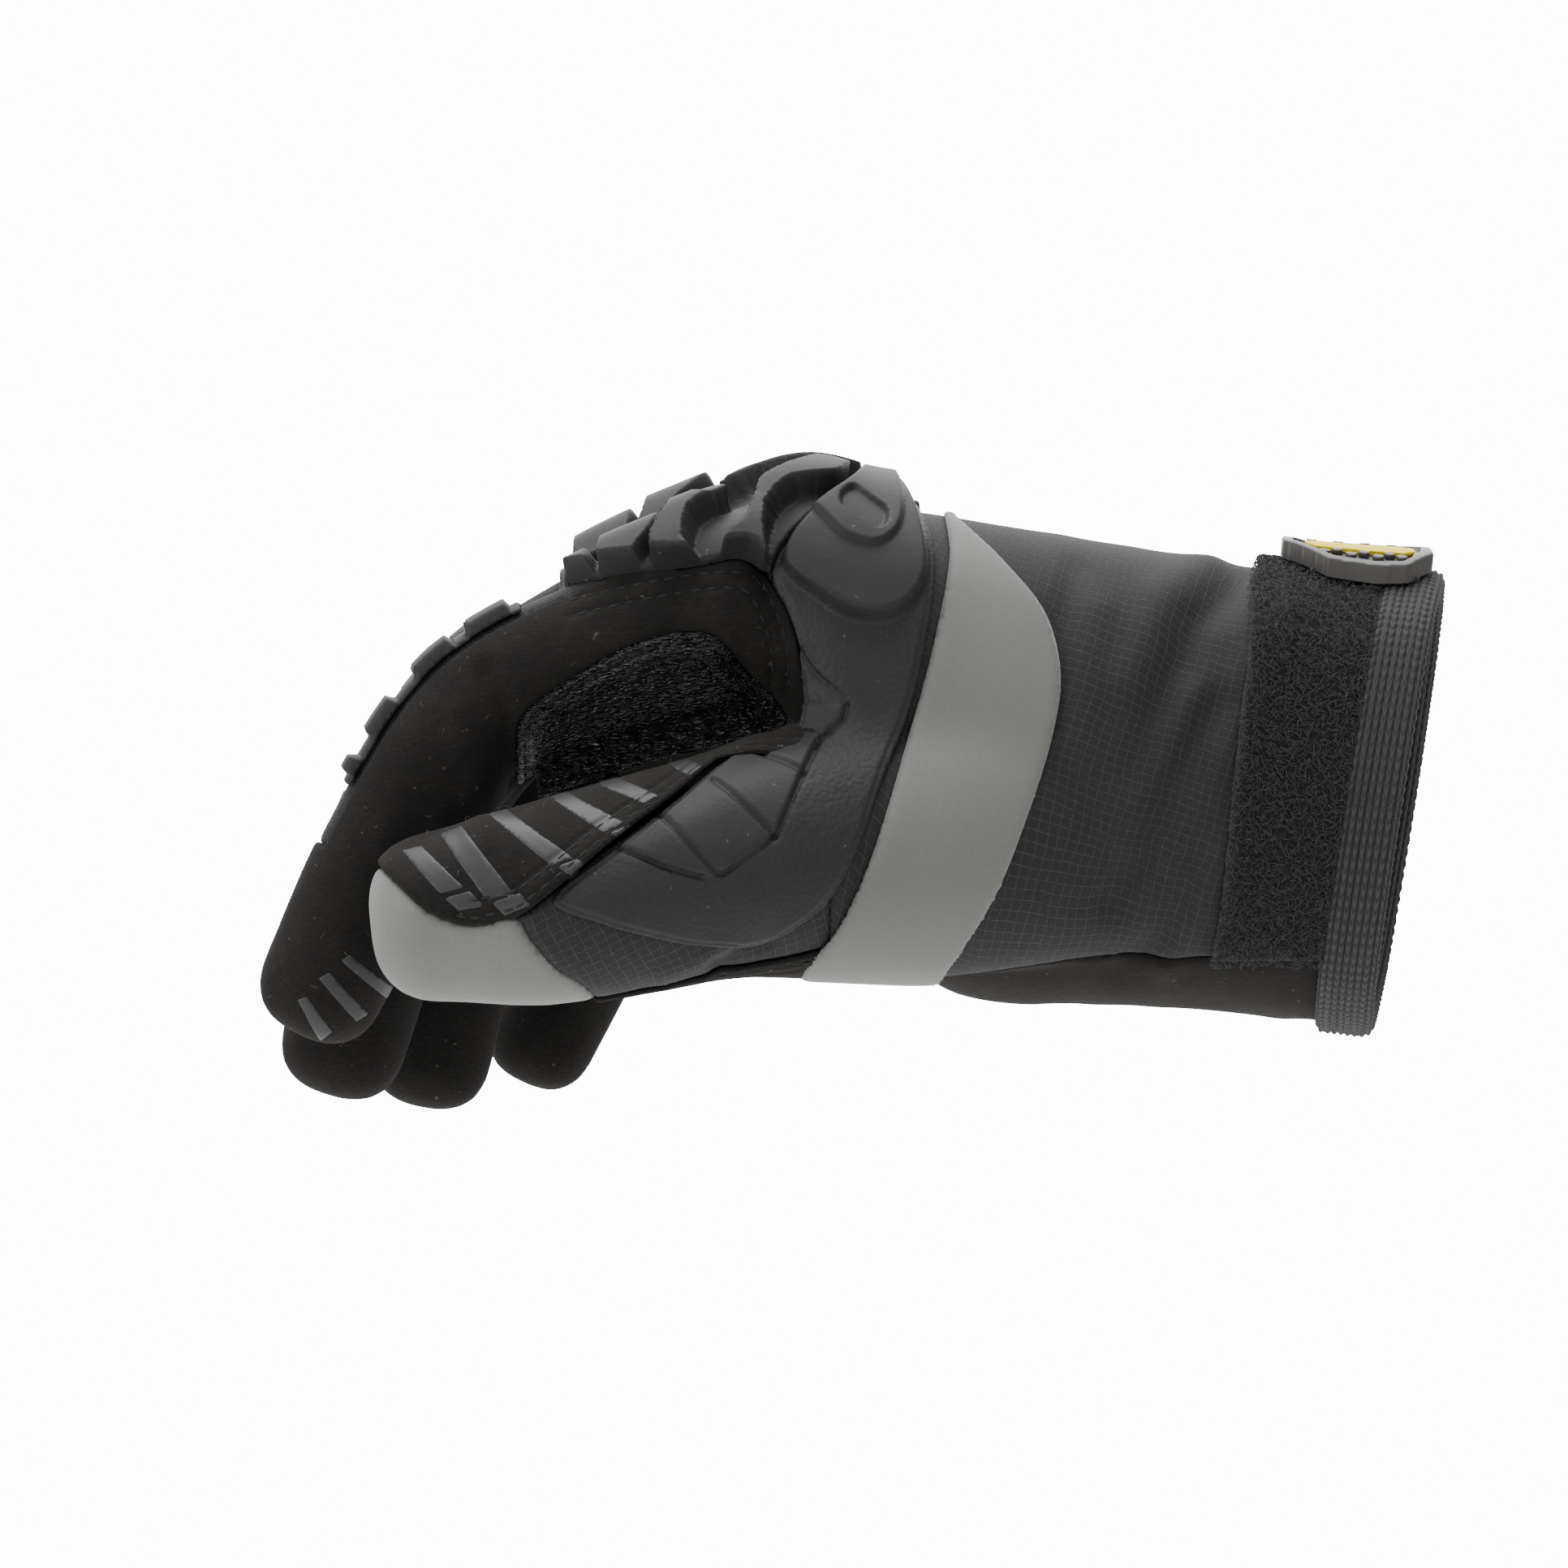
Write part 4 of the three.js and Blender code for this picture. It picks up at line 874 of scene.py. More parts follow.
def rubber():
    # Thermoplastic rubber moulded in a tool with a leather grain: dark grey, matt, pebbled at
    # about 0.9 mm, and only finely sanded on the raised parts, where "cloth" z is 1
    made, tree, at = material("moulded_thermoplastic_rubber", 0.6,
                              Specular_IOR_Level=0.28)
    cloth = add(tree, "ShaderNodeAttribute", attribute_name="cloth")
    raised = add(tree, "ShaderNodeSeparateXYZ", {"Vector": cloth.outputs["Vector"]})
    warp = add(tree, "ShaderNodeTexNoise", {"Vector": at, "Scale": mm(1.6), "Detail": 2})
    shift = add(tree, "ShaderNodeVectorMath", {0: warp.outputs["Color"],
                                               1: (0.0006, 0.0006, 0.0006)},
                operation="MULTIPLY")
    moved = add(tree, "ShaderNodeVectorMath", {0: at, 1: shift.outputs[0]}, operation="ADD")
    pebble = add(tree, "ShaderNodeTexVoronoi", {"Vector": moved.outputs[0], "Scale": mm(0.9),
                                                "Smoothness": 0.6}, feature="SMOOTH_F1")
    sanded = add(tree, "ShaderNodeTexNoise", {"Vector": at, "Scale": mm(0.35), "Detail": 2})
    plainer = add(tree, "ShaderNodeMapRange", {"Value": raised.outputs["Z"], "To Min": 1,
                                               "To Max": 0.12})
    graded = add(tree, "ShaderNodeMath", {0: pebble.outputs["Distance"],
                                          1: plainer.outputs[0]}, operation="MULTIPLY")
    height = add(tree, "ShaderNodeMath", {0: sanded.outputs["Fac"], 1: -0.12,
                                          2: graded.outputs[0]}, operation="MULTIPLY_ADD")
    worn = add(tree, "ShaderNodeTexNoise", {"Vector": at, "Scale": mm(7), "Detail": 5,
                                            "Roughness": 0.65})
    colour = add(tree, "ShaderNodeMix", {0: worn.outputs["Fac"], 6: linear("#1b1b1c"),
                                         7: linear("#272728")}, data_type="RGBA")
    dust = add(tree, "ShaderNodeTexNoise", {"Vector": at, "Scale": mm(1.1), "Detail": 1})
    specks = add(tree, "ShaderNodeMapRange", {"Value": dust.outputs["Fac"], "From Min": 0.76,
                                              "From Max": 0.82, "To Max": 0.2})
    dusty = add(tree, "ShaderNodeMix", {0: specks.outputs[0], 6: colour.outputs[2],
                                        7: linear("#8a8a8a")}, data_type="RGBA")
    return covered(made, dusty.outputs[2], height.outputs[0], 0.6, 0.2, invert=True)


def crinkled_leather():
    # Coated grain leather crushed into fine creases: near black and half glossy, so the crest of
    # each crease glints. The colour is painted darker towards the bottoms of the creases, as
    # painted shade
    made, tree, at = material("crinkled_coated_leather", 0.4, IOR=1.5)
    laid = add(tree, "ShaderNodeMapping", {"Vector": at, "Rotation": (0, 0.25, 0),
                                           "Scale": (0.3, 1, 1.2)})
    warp = add(tree, "ShaderNodeTexNoise", {"Vector": at, "Scale": mm(1.7), "Detail": 3})
    shift = add(tree, "ShaderNodeVectorMath", {0: warp.outputs["Color"],
                                               1: (0.0009, 0.0009, 0.0009)},
                operation="MULTIPLY")
    moved = add(tree, "ShaderNodeVectorMath", {0: laid.outputs[0], 1: shift.outputs[0]},
                operation="ADD")
    crease = add(tree, "ShaderNodeTexVoronoi", {"Vector": moved.outputs[0], "Scale": mm(0.62)},
                 feature="DISTANCE_TO_EDGE")
    crests_and_painted_crease_shade = add(tree, "ShaderNodeMapRange", {"Value": crease.outputs["Distance"],
                                              "From Max": 0.35})
    # Painted shade: darker colour towards the crease bottoms, lighter on each crest
    colour = add(tree, "ShaderNodeMix", {0: crests_and_painted_crease_shade.outputs[0], 6: linear("#070707"),
                                         7: linear("#191818")}, data_type="RGBA")
    gloss = add(tree, "ShaderNodeMapRange", {"Value": warp.outputs["Fac"], "From Min": 0.35,
                                             "From Max": 0.65, "To Min": 0.22, "To Max": 0.5})
    tree.links.new(gloss.outputs[0],
                   tree.nodes["Principled BSDF"].inputs["Roughness"])
    return covered(made, colour.outputs[2], crests_and_painted_crease_shade.outputs[0], 1, 0.6)


def fibrous(name, dark, light, size, depth, stretch, sheen=0.25):
    # Spun polyester: drawn fibres twisted or looped together, matt, with a soft edge against the
    # light from the sheen. The colour follows the strands pattern: partly random tone of the
    # strands, partly painted shade, darker in the gaps between fibres. Single fibres are too fine
    # to show, so their pattern is drawn coarser
    made, tree, at = material(name, 0.9, Sheen_Weight=sheen, Sheen_Roughness=0.5,
                              Sheen_Tint=linear("#8d8d90"))
    laid = add(tree, "ShaderNodeMapping", {"Vector": at, "Scale": stretch})
    strands = add(tree, "ShaderNodeTexNoise", {"Vector": laid.outputs[0], "Scale": mm(size),
                                               "Detail": 4, "Roughness": 0.7})
    strands_and_painted_gap_shade = add(tree, "ShaderNodeMapRange", {"Value": strands.outputs["Fac"],
                                              "From Min": 0.3, "From Max": 0.7})
    # Darker where the strands pattern is low: random tone and painted shade in the gaps between
    # fibres
    colour = add(tree, "ShaderNodeMix", {0: strands_and_painted_gap_shade.outputs[0], 6: linear(dark),
                                         7: linear(light)}, data_type="RGBA")
    return covered(made, colour.outputs[2], strands_and_painted_gap_shade.outputs[0], 0.6, depth)


def knitted_binding():
    # Knitted polyester binding: columns of chain stitches 1.15 mm wide along the edge, matt, with
    # painted shade: near black in the gaps between the columns and darker where each stitch turns
    made, tree, at = material("knitted_polyester_binding", 0.9, Sheen_Weight=0.2,
                              Sheen_Roughness=0.5, Sheen_Tint=linear("#8d8d8d"))
    cloth = add(tree, "ShaderNodeAttribute", attribute_name="cloth")
    split = add(tree, "ShaderNodeSeparateXYZ", {"Vector": cloth.outputs["Vector"]})
    column = add(tree, "ShaderNodeMath", {0: split.outputs["X"], 1: 0.5}, operation="PINGPONG")
    slanted = add(tree, "ShaderNodeMath", {0: column.outputs[0], 1: 1.6,
                                           2: split.outputs["Y"]}, operation="MULTIPLY_ADD")
    stitch = add(tree, "ShaderNodeMath", {0: slanted.outputs[0], 1: 0.5}, operation="PINGPONG")
    gaps = add(tree, "ShaderNodeMapRange", {"Value": column.outputs[0], "From Max": 0.3})
    turns = add(tree, "ShaderNodeMapRange", {"Value": stitch.outputs[0], "From Max": 0.3,
                                             "To Min": 0.45})
    hairs = add(tree, "ShaderNodeTexNoise", {"Vector": at, "Scale": mm(0.3), "Detail": 3,
                                             "Roughness": 0.7})
    woven = add(tree, "ShaderNodeMath", {0: gaps.outputs[0], 1: turns.outputs[0]},
                operation="MULTIPLY")
    tone = add(tree, "ShaderNodeMix", {0: hairs.outputs["Fac"], 6: linear("#232323"),
                                       7: linear("#444444")}, data_type="RGBA")
    # Near black where the knit's relief sinks: painted shade in the gaps and at each stitch's
    # turn
    colour = add(tree, "ShaderNodeMix", {0: woven.outputs[0], 6: linear("#09090a"),
                                         7: tone.outputs[2]}, data_type="RGBA")
    return covered(made, colour.outputs[2], woven.outputs[0], 0.8, 0.3)


def webbing():
    # Woven polyester strap: twill of 1.3 mm cords, matt, with painted shade, near black in the
    # gaps between the cords
    made, tree, at = material("woven_polyester_strap", 0.85, Sheen_Weight=0.15)
    cloth = add(tree, "ShaderNodeAttribute", attribute_name="cloth")
    cords = add(tree, "ShaderNodeTexBrick", {
        "Vector": cloth.outputs["Vector"], "Scale": 1, "Mortar Size": 0.16,
        "Mortar Smooth": 0.8, "Brick Width": 1.3, "Row Height": 0.7}, offset=0.5)
    hairs = add(tree, "ShaderNodeTexNoise", {"Vector": at, "Scale": mm(0.4), "Detail": 3})
    tone = add(tree, "ShaderNodeMix", {0: hairs.outputs["Fac"], 6: linear("#1b1b1c"),
                                       7: linear("#2f2f31")}, data_type="RGBA")
    # Near black in the brick pattern's mortar, where the relief sinks: painted shade between the
    # cords
    colour = add(tree, "ShaderNodeMix", {0: cords.outputs["Fac"], 6: tone.outputs[2],
                                         7: linear("#0d0d0d")}, data_type="RGBA")
    return covered(made, colour.outputs[2], cords.outputs["Fac"], 0.8, 0.4, invert=True)


def moulded(name, dark, light, roughness, grain, depth, **shader):
    # Soft plastic from a polished or sanded tool: even colour with a slight mottle, smooth
    # flow, and a fine sanded grain that takes the edge off the highlights. The print's silicone
    # and the stage's paper are drawn in the same way
    made, tree, at = material(name, roughness, **shader)
    flow = add(tree, "ShaderNodeTexNoise", {"Vector": at, "Scale": mm(6), "Detail": 4})
    colour = add(tree, "ShaderNodeMix", {0: flow.outputs["Fac"], 6: linear(dark),
                                         7: linear(light)}, data_type="RGBA")
    sanded = add(tree, "ShaderNodeTexNoise", {"Vector": at, "Scale": mm(grain), "Detail": 3})
    return covered(made, colour.outputs[2], sanded.outputs["Fac"], 0.4, depth)


SUEDE = suede()
RIPSTOP = ripstop()
GREY = grey_cloth()
RUBBER = rubber()
GRAIN = crinkled_leather()
WEBBING = webbing()
LOOP = fibrous("brushed_loop_pile", "#080808", "#19191a", 0.8, 0.5, (1, 1, 1))
FIBRE = fibrous("loop_pile_fibre", "#1d1d20", "#3d3d40", 0.6, 0.05, (1, 1, 1))
KNIT = knitted_binding()
THREAD = fibrous("polyester_sewing_thread", "#0a0909", "#181716", 0.3, 0.1, (1, 1, 1), 0.08)
LINT = fibrous("lint_hairs", "#3b3833", "#6f6b64", 0.5, 0.02, (1, 1, 1))
LINING = fibrous("knitted_lining", "#0d0d0e", "#1b1b1c", 0.9, 0.2, (1, 1, 0.3))
TAB_LOOK = moulded("satin_rubber", "#3a3836", "#454340", 0.42, 0.5, 0.03, IOR=1.5)
YELLOW = moulded("coloured_rubber", "#e4cf12", "#f3e020", 0.55, 0.5, 0.02,
                 Specular_IOR_Level=0.15)
INK = moulded("printed_silicone", "#1e1d1d", "#2d2c2b", 0.5, 0.4, 0.05, IOR=1.45)


# Panels

def finished(bm, name, look, nodes=(), wall=None):
    """A piece in metres that rides on the hand, stands for its CAD nodes and has its finish."""
    bmesh.ops.transform(bm, matrix=Matrix.Scale(0.001, 4), verts=bm.verts)
    for face in bm.faces:
        face.smooth = True
    mesh = bpy.data.meshes.new(name)
    bm.to_mesh(mesh)
    bm.free()
    piece = in_scene(name, mesh)
    mesh.materials.append(look)
    if wall:
        shell = piece.modifiers.new("wall", "SOLIDIFY")
        shell.thickness = wall / 1000
        shell.offset = -1
    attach(piece, "root")
    if nodes:
        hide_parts(*nodes)
    return piece


def stitched(bm, name, rows, lines):
    """Rows of stitches near a panel's edge (inset and where) or along given lines."""
    thread = bmesh.new()
    places = [found for inset, wanted in rows for found in seam_places(bm, inset)
              if wanted(found[0])]
    places += [found for line in lines for found in line_places(bm, line)]
    for spot, normal, along in places:
        across = normal.cross(along).normalized()
        turn = Matrix((along, across, normal)).transposed().to_4x4()
        size = Matrix.Diagonal((*STITCH, 1))
        bmesh.ops.create_uvsphere(thread, u_segments=6, v_segments=4, radius=1,
                                  matrix=Matrix.Translation(spot) @ turn @ size)
    finished(thread, name, THREAD)


def printed(bm, name, stripes):
    """Stripes printed on a panel, a little proud of it."""
    ink = bm.copy()
    cut(ink, either(*[flat_zone(np.array(stripe), (0, 2)) for stripe in stripes]))
    edge = edge_distance(ink)
    place(ink, coords(ink) + normals(ink) * (0.02 + 0.06 * ease(edge / 0.4))[:, None])
    finished(ink, name, INK, wall=0.08)


def panel(name, look, nodes, fields, top=0.0, wall=0.9, tuck=0.8, tuck_width=1.6,
          finer=0, relief=None, seams=(), flow="palm", polish=None, prints=None, spans=False,
          lines=(), skirt=0):
    """A piece of the hand's skin: cut to its zone, raised, and rounded down to its edges."""
    bm = (bridged if spans else form).copy()
    for field in fields:
        cut(bm, field)
    if finer:
        bmesh.ops.triangulate(bm, faces=[f for f in bm.faces if len(f.verts) > 4])
        bmesh.ops.subdivide_edges(bm, edges=bm.edges, cuts=finer, use_grid_fill=True)
    points = coords(bm)
    edge = edge_distance(bm)
    height = top(points, edge) if callable(top) else top
    rise = height - tuck * (1 - np.sqrt(1 - (1 - np.clip(edge / tuck_width, 0, 1)) ** 2))
    if relief:
        rise = rise + relief(points, edge)
    for inset, wanted in seams:
        sewn = np.array([wanted(p) for p in points])
        rise = rise - GROOVE_FALL * np.exp(-((edge - inset) / GROOVE_REACH) ** 2) * sewn
    for line in lines:
        rise = rise - GROOVE_FALL * np.exp(-(line_distance(points, line) / GROOVE_REACH) ** 2)
    out = normals(bm)
    if spans:
        layer = bm.verts.layers.float_vector["out"]
        out = np.array([v[layer][:] for v in bm.verts])
        bm.verts.layers.float_vector.remove(layer)
    place(bm, points + out * rise[:, None])
    if spans:
        bmesh.ops.smooth_vert(bm, verts=[v for v in bm.verts if not v.is_boundary], factor=0.5,
                              use_axis_x=True, use_axis_y=True, use_axis_z=True)
    stem = name.rsplit("_", 1)[0]
    if seams or lines:
        stitched(bm, stem + "_stitches", seams, lines)
    if prints:
        printed(bm, stem + "_prints", prints)
    if skirt:
        rim = [e for e in bm.edges if e.is_boundary]
        down = -Vector(out.mean(0)) * skirt
        made = bmesh.ops.extrude_edge_only(bm, edges=rim)["geom"]
        bmesh.ops.translate(bm, vec=down,
                            verts=[v for v in made if isinstance(v, bmesh.types.BMVert)])
        points = coords(bm)
    cloth = cloth_places(points, flow)
    if polish:
        cloth[:, 2] = polish(points, edge)
    piece = finished(bm, name, look, nodes, wall)
    layer = piece.data.attributes.new("cloth", "FLOAT_VECTOR", "POINT")
    layer.data.foreach_set("vector", cloth.astype(np.float32).ravel())
    return piece


def scattered(bm, count, rng):
    """Random places on a mesh with their normals, evenly by area."""
    areas = [f.calc_area() for f in bm.faces]
    faces = list(bm.faces)
    chosen = rng.choices(faces, weights=areas, k=count)
    spots = []
    for face in chosen:
        shares = [rng.random() ** 1.5 for _ in face.verts]
        total = sum(shares)
        spot = sum((v.co * w for v, w in zip(face.verts, shares)), Vector()) / total
        spots.append((spot, face.normal.copy()))
    return spots


def strands(name, look, slot, lines, thickness):
    """Thin fibres, each along its own line, as one piece."""
    curve = bpy.data.curves.new(name, "CURVE")
    curve.dimensions = "3D"
    curve.bevel_depth = thickness / 2000
    curve.bevel_resolution = 0
    curve.use_fill_caps = True
    for line in lines:
        spline = curve.splines.new("POLY")
        spline.points.add(len(line) - 1)
        values = [c for point in line for c in (*(point / 1000), 1)]
        spline.points.foreach_set("co", values)
    curve.materials.append(look)
    piece = in_scene(name, curve)
    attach(piece, "root")
    return piece


def curl(spot, normal, rng, size, steps):
    """An open loop of fibre that leaves the cloth and bends back down to it."""
    across = normal.cross(Vector([rng.uniform(-1, 1) for _ in range(3)])).normalized()
    lean = normal.cross(across) * rng.uniform(-0.5, 0.5)
    radius = size * rng.uniform(0.6, 1.3)
    begins, sweep = rng.uniform(-0.6, 0.3), rng.uniform(2.6, 4.4)
    centre = spot + normal * radius * 0.55
    line = []
    for k in range(steps + 1):
        turn = begins + sweep * k / steps
        line.append(centre + (across * -math.cos(turn)) * radius * 1.2
                    + (normal * math.sin(turn) + lean * math.sin(turn)) * radius)
    return line


def curls(bm, rng, kind):
    """Curls of one kind all over a mesh."""
    return [curl(spot, normal, rng, kind["size"], kind["steps"])
            for spot, normal in scattered(bm, kind["count"], rng)]


def cloth_places(points, flow):
    """Millimetres along and round the hand or a digit, for patterns that follow the cloth."""
    if flow == "palm":
        rows = np.array(PALM)[::-1]
        at = points[:, 0] / PALM_LENGTH
        middle_y = np.interp(at, rows[:, 0], rows[:, 1]) * PALM_WIDTH
        middle_z = np.interp(at, rows[:, 0], rows[:, 2]) * PALM_HEIGHT
        turn = np.arctan2(points[:, 1] - middle_y, points[:, 2] - middle_z)
        along, round_it = points[:, 0], turn * PALM_ROUND
    else:
        along, _, round_it = around(flow, points)
    return np.stack([along, round_it, np.zeros(len(points))], axis=1)


form = folded(hand_form())
bridged = spanning(form)

patch_zone = both(outline(PATCH), nearer_than(REACH["patch"]))
thumb_zone = both(limit(0, THUMB_BEGINS * PALM_LENGTH, -1), nearer_than(REACH["thumb"]),
                  lambda points: 1.2 - tube_gap("thumb")(points), outside(patch_zone))
tip_zone = outline(THUMB_TIP)
thumb_back = both(nearer_than(REACH["thumb_back"]), outside(outline(THUMB_SUEDE)))
index_side = both(outline(INDEX_SIDE), nearer_than(REACH["index"]))
taken = either(patch_zone, thumb_zone)
finger_zones = {}
for name in FINGERS:
    zone = digit_zone(name)
    if name == "index":
        zone = either(zone, index_side)
    finger_zones[name] = both(zone, outside(taken))
rest_zone = outside(either(taken, *finger_zones.values()))
web_under = both(limit(0, WEB_UNDER["front"], -1), outside(nearer_than(WEB_UNDER["near"])),
                 limit(2, WEB_UNDER["top"], -1), nearer_than(WEB_UNDER["far"]))
palm_front = both(outline(PALM_FRONT), outside(nearer_than(REACH["palm_front"])))
palm_zone = either(below(PALM_SEAM), palm_front, web_under)


def back_strip(name, arc, begins, ends):
    """Zone along the back of a digit, between two shares of its length."""
    run = FRAMES[name]["run"][-1]

    def field(points):
        along, gap, round_it = around(name, points)
        size = FRAMES[name]["wide"].mean()
        side = math.radians(arc) * size - np.abs(round_it)
        return np.minimum.reduce([side, along - begins * run, ends * run - along, 3 - gap])
    return field


def rim_height(rim, along):
    return rim["up"] + rim["slope"] * (along - rim["along"])


def upper_rim(p):
    return p[2] > rim_height(PATCH_RIM, p[0]) or p[0] < PATCH_RIM["front"]


def by_rubber(p):
    """Along the seam over the rubber panel and the tip panel."""
    return p[2] < rim_height(RUBBER_RIM, p[0])


knuckle_edge = smooth_line(KNUCKLE_EDGE, 60)


def seam_lift(points, edge):
    return SEAM_TOP + SEAM_SWELL * np.exp(-(line_distance(points, SEAM) / 3.2) ** 2)


panel("crotch_patch_leather", GRAIN, ["crotch_patch"], [patch_zone], top=0.7,
      tuck_width=1.2, finer=1, seams=[(1.5, upper_rim), (4.2, upper_rim)])
panel("thumb_tip_cloth", GREY, ["thumb_tip_panel"], [thumb_zone, tip_zone])
panel("thumb_back_ripstop", RIPSTOP, ["thumb_back_fabric"],
      [thumb_zone, outside(tip_zone), thumb_back], flow="thumb")
panel("thumb_suede", SUEDE, ["thumb_leather"],
      [thumb_zone, outside(tip_zone), outside(thumb_back)], top=seam_lift, tuck_width=1.2,
      finer=1, seams=[(1.3, by_rubber), (4, by_rubber)], prints=THUMB_PRINTS)
for name in FINGERS:
    strip = back_strip(name, STRIP_ARC, *STRIP_ALONG)
    panel(f"{name}_suede", SUEDE, [f"{name}_leather"],
          [finger_zones[name], outside(strip)], top=0.5, tuck=0.5, tuck_width=1,
          finer=1 if name == "index" else 0,
          lines=[beside(knuckle_edge, inset) for inset in (1.6, 4.2)] if name == "index" else (),
          prints=TIP_PRINTS if name == "index" else None)
    panel(f"{name}_back_cloth", RIPSTOP, [], [both(finger_zones[name], strip)],
          top=0.1, flow=name)

    def blocks(points, edge, name=name):
        along = around(name, points)[0] / FRAMES[name]["run"][-1]
        rise = 0
        for begins, ends in BLOCKS:
            rise = rise + ease((along - begins) / 0.008) * ease((ends - along) / 0.008)
        return rise * (BLOCK_RISE - STRIP_RISE) * ease(edge / 1.6 + 0.2)
    panel(f"{name}_guard_rubber", RUBBER, [f"{name}_guard"],
          [back_strip(name, BLOCK_ARC, BLOCKS[0][0] - 0.012, BLOCKS[-1][1] + 0.012)],
          top=0.3 + STRIP_RISE, wall=0.9, tuck=0.5, tuck_width=0.6, finer=2, relief=blocks,
          polish=lambda points, edge: np.ones(len(points)))
panel("palm_suede", SUEDE, ["palm_leather"],
      [inside_cuff(CLOTH_END), rest_zone, palm_zone])
panel("back_ripstop", RIPSTOP, ["back_fabric"],
      [inside_cuff(CLOTH_END), rest_zone, outside(palm_zone)])
panel("hand_lining", LINING, [], [inside_cuff(CLOTH_END), limit(0, LINING_END, 1)],
      top=-LINING_DEPTH, wall=None, tuck=0)
near_side = nearer_than(GUARD_REACH)
panel("grey_band_cloth", GREY, ["grey_band"], [outline(BAND), near_side],
      top=BAND_TOP, wall=1.1, spans=True)

dome, fan = outline(DOME), outline(np.array(FAN) / (PALM_LENGTH, PALM_HEIGHT))
plateau = outline(np.array(PLATEAU) / (PALM_LENGTH, PALM_HEIGHT))


def pill(points):
    tilt = math.radians(PILL["tilt"])
    flat = points[:, (0, 2)] - PILL["centre"]
    along = flat @ (math.cos(tilt), math.sin(tilt))
    across = flat @ (-math.sin(tilt), math.cos(tilt))
    straight = PILL["length"] / 2 - PILL["width"] / 2
    return PILL["width"] / 2 - np.hypot(np.maximum(np.abs(along) - straight, 0), across)


def guard_relief(points, edge):
    rise = (DOME_RISE - PLATEAU_RISE) * ease(dome(points) / 2)
    rise = rise + PLATEAU_RISE * ease(plateau(points) / 0.7)
    rise = rise - PLATEAU_RISE * ease(pill(points) / 0.4)
    rise = rise + FAN_RISE * ease(fan(points) / 0.7)
    for groove in GROOVES:
        gap = line_distance(points, groove)
        rise = rise - LEAF_GROOVE * np.exp(-(gap / LEAF_GROOVE_REACH) ** 2)
    width, depth = LIP
    lip = depth * (1 - ease((edge - width) / 0.4))
    return rise - lip - SEAM_SINK * np.exp(-(line_distance(points, SEAM) / 3) ** 2)


def guard_polish(points, edge):
    return np.maximum(ease(dome(points) / 1.5), 0.75 * ease(fan(points) / 0.8))


corner_x, corner_y, corner_z = GUARD_CORNER
guard_corner = both(limit(0, corner_x, -1), limit(1, corner_y, 1), limit(2, corner_z, -1))
guard_zone = both(outline(GUARD), near_side, outside(guard_corner))
panel("thumb_guard_rubber", RUBBER, ["thumb_guard"], [guard_zone],
      top=GUARD_TOP, wall=0.5, tuck=1.2, tuck_width=0.6, finer=2, relief=guard_relief,
      polish=guard_polish, spans=True)


def index_crest(points, rise):
    """How far up the near side of the first knuckle each point is: 1 from its crest on."""
    raised = points + rise
    mine = points[:, 1] < -14
    stations = np.arange(*INDEX_ALONG, 1.0)
    tops, middles = [], []
    for x in stations:
        near = mine & (np.abs(points[:, 0] - x) < 1.2)
        k = np.argmax(np.where(near, raised[:, 2], -99))
        tops.append(raised[k, 2])
        middles.append(points[k, 1])
    tops = np.convolve(np.pad(tops, 3, mode="edge"), np.ones(7) / 7, "valid")
    foot = np.interp(points[:, 0], *np.transpose(INDEX_FOOT))
    top = np.interp(points[:, 0], stations, tops)
    share = (raised[:, 2] - foot) / (top - foot)
    return np.where(points[:, 1] > np.interp(points[:, 0], stations, middles), 1, share)


def rib_relief(points, edge, facing):
    """Height of the ribs above the base plate."""
    total = np.zeros(len(points))
    for k, (near, far, ahead) in enumerate(KNUCKLE_RIBS):
        near, far = near * PALM_WIDTH, far * PALM_WIDTH
        if k:
            middle, half = (near + far) / 2, (far - near) / 2
            share = 1 - 0.35 * ((points[:, 1] - middle) / half) ** 2
            across = ease((half - np.abs(points[:, 1] - middle)) / 1.1)
        else:
            share = index_crest(points, facing * (GUARD_TOP + RIB_PROUD))
            across = ease((far - points[:, 1]) / 1.1)
        share = np.clip(share, 0, 1)
        x = points[:, 0] + ahead * PALM_LENGTH
        for rib in RIBS[1:] if k == 1 else RIBS:
            front = np.interp(share, RIB_SHARES, rib["front"])
            back = np.interp(share, RIB_SHARES, rib["back"])
            inside = np.minimum(x - front, back - x)
            height = rib["rise"] * ease(inside / 0.9 + 0.2)
            if rib["rise"] > RIB_PROUD and not k:
                height = height + 0.5 * ease((RIB_NOTCH - 4 - points[:, 2]) / 0.4) * (height > 4)
            total = np.maximum(total, height * across)
    return total * ease(edge / 0.8 + 0.15)


def knuckle_relief(points, edge):
    surface = BVHTree.FromBMesh(bridged)
    facing = np.array([surface.find_nearest(p)[1][:] for p in points])
    return rib_relief(points, edge, facing)


knuckle_zone = both(
    limit(0, KNUCKLE_FRONT * PALM_LENGTH, 1),
    lambda points: KNUCKLE_BACK - KNUCKLE_SLANT * np.maximum(points[:, 1], 0) - points[:, 0],
    nearer_than(KNUCKLE_FAR), outside(below(KNUCKLE_SEAM)),
    outside(both(outline(GUARD), nearer_than(GUARD_REACH + 0.01))),
    outside(both(outline(INDEX_SIDE), nearer_than(REACH["index_edge"]))),
    outside(both(nearer_than(GUARD_REACH + 0.01), limit(0, KNUCKLE_BY_DOME, 1))))
panel("knuckle_guard_rubber", RUBBER, ["knuckle_guard"], [knuckle_zone],
      top=GUARD_TOP, wall=None, tuck=1.7, tuck_width=0.7, finer=2, relief=knuckle_relief,
      polish=lambda points, edge: np.ones(len(points)), spans=True)
loop_zone = both(inside_cuff(LOOP_END), outline(LOOP_EDGE))
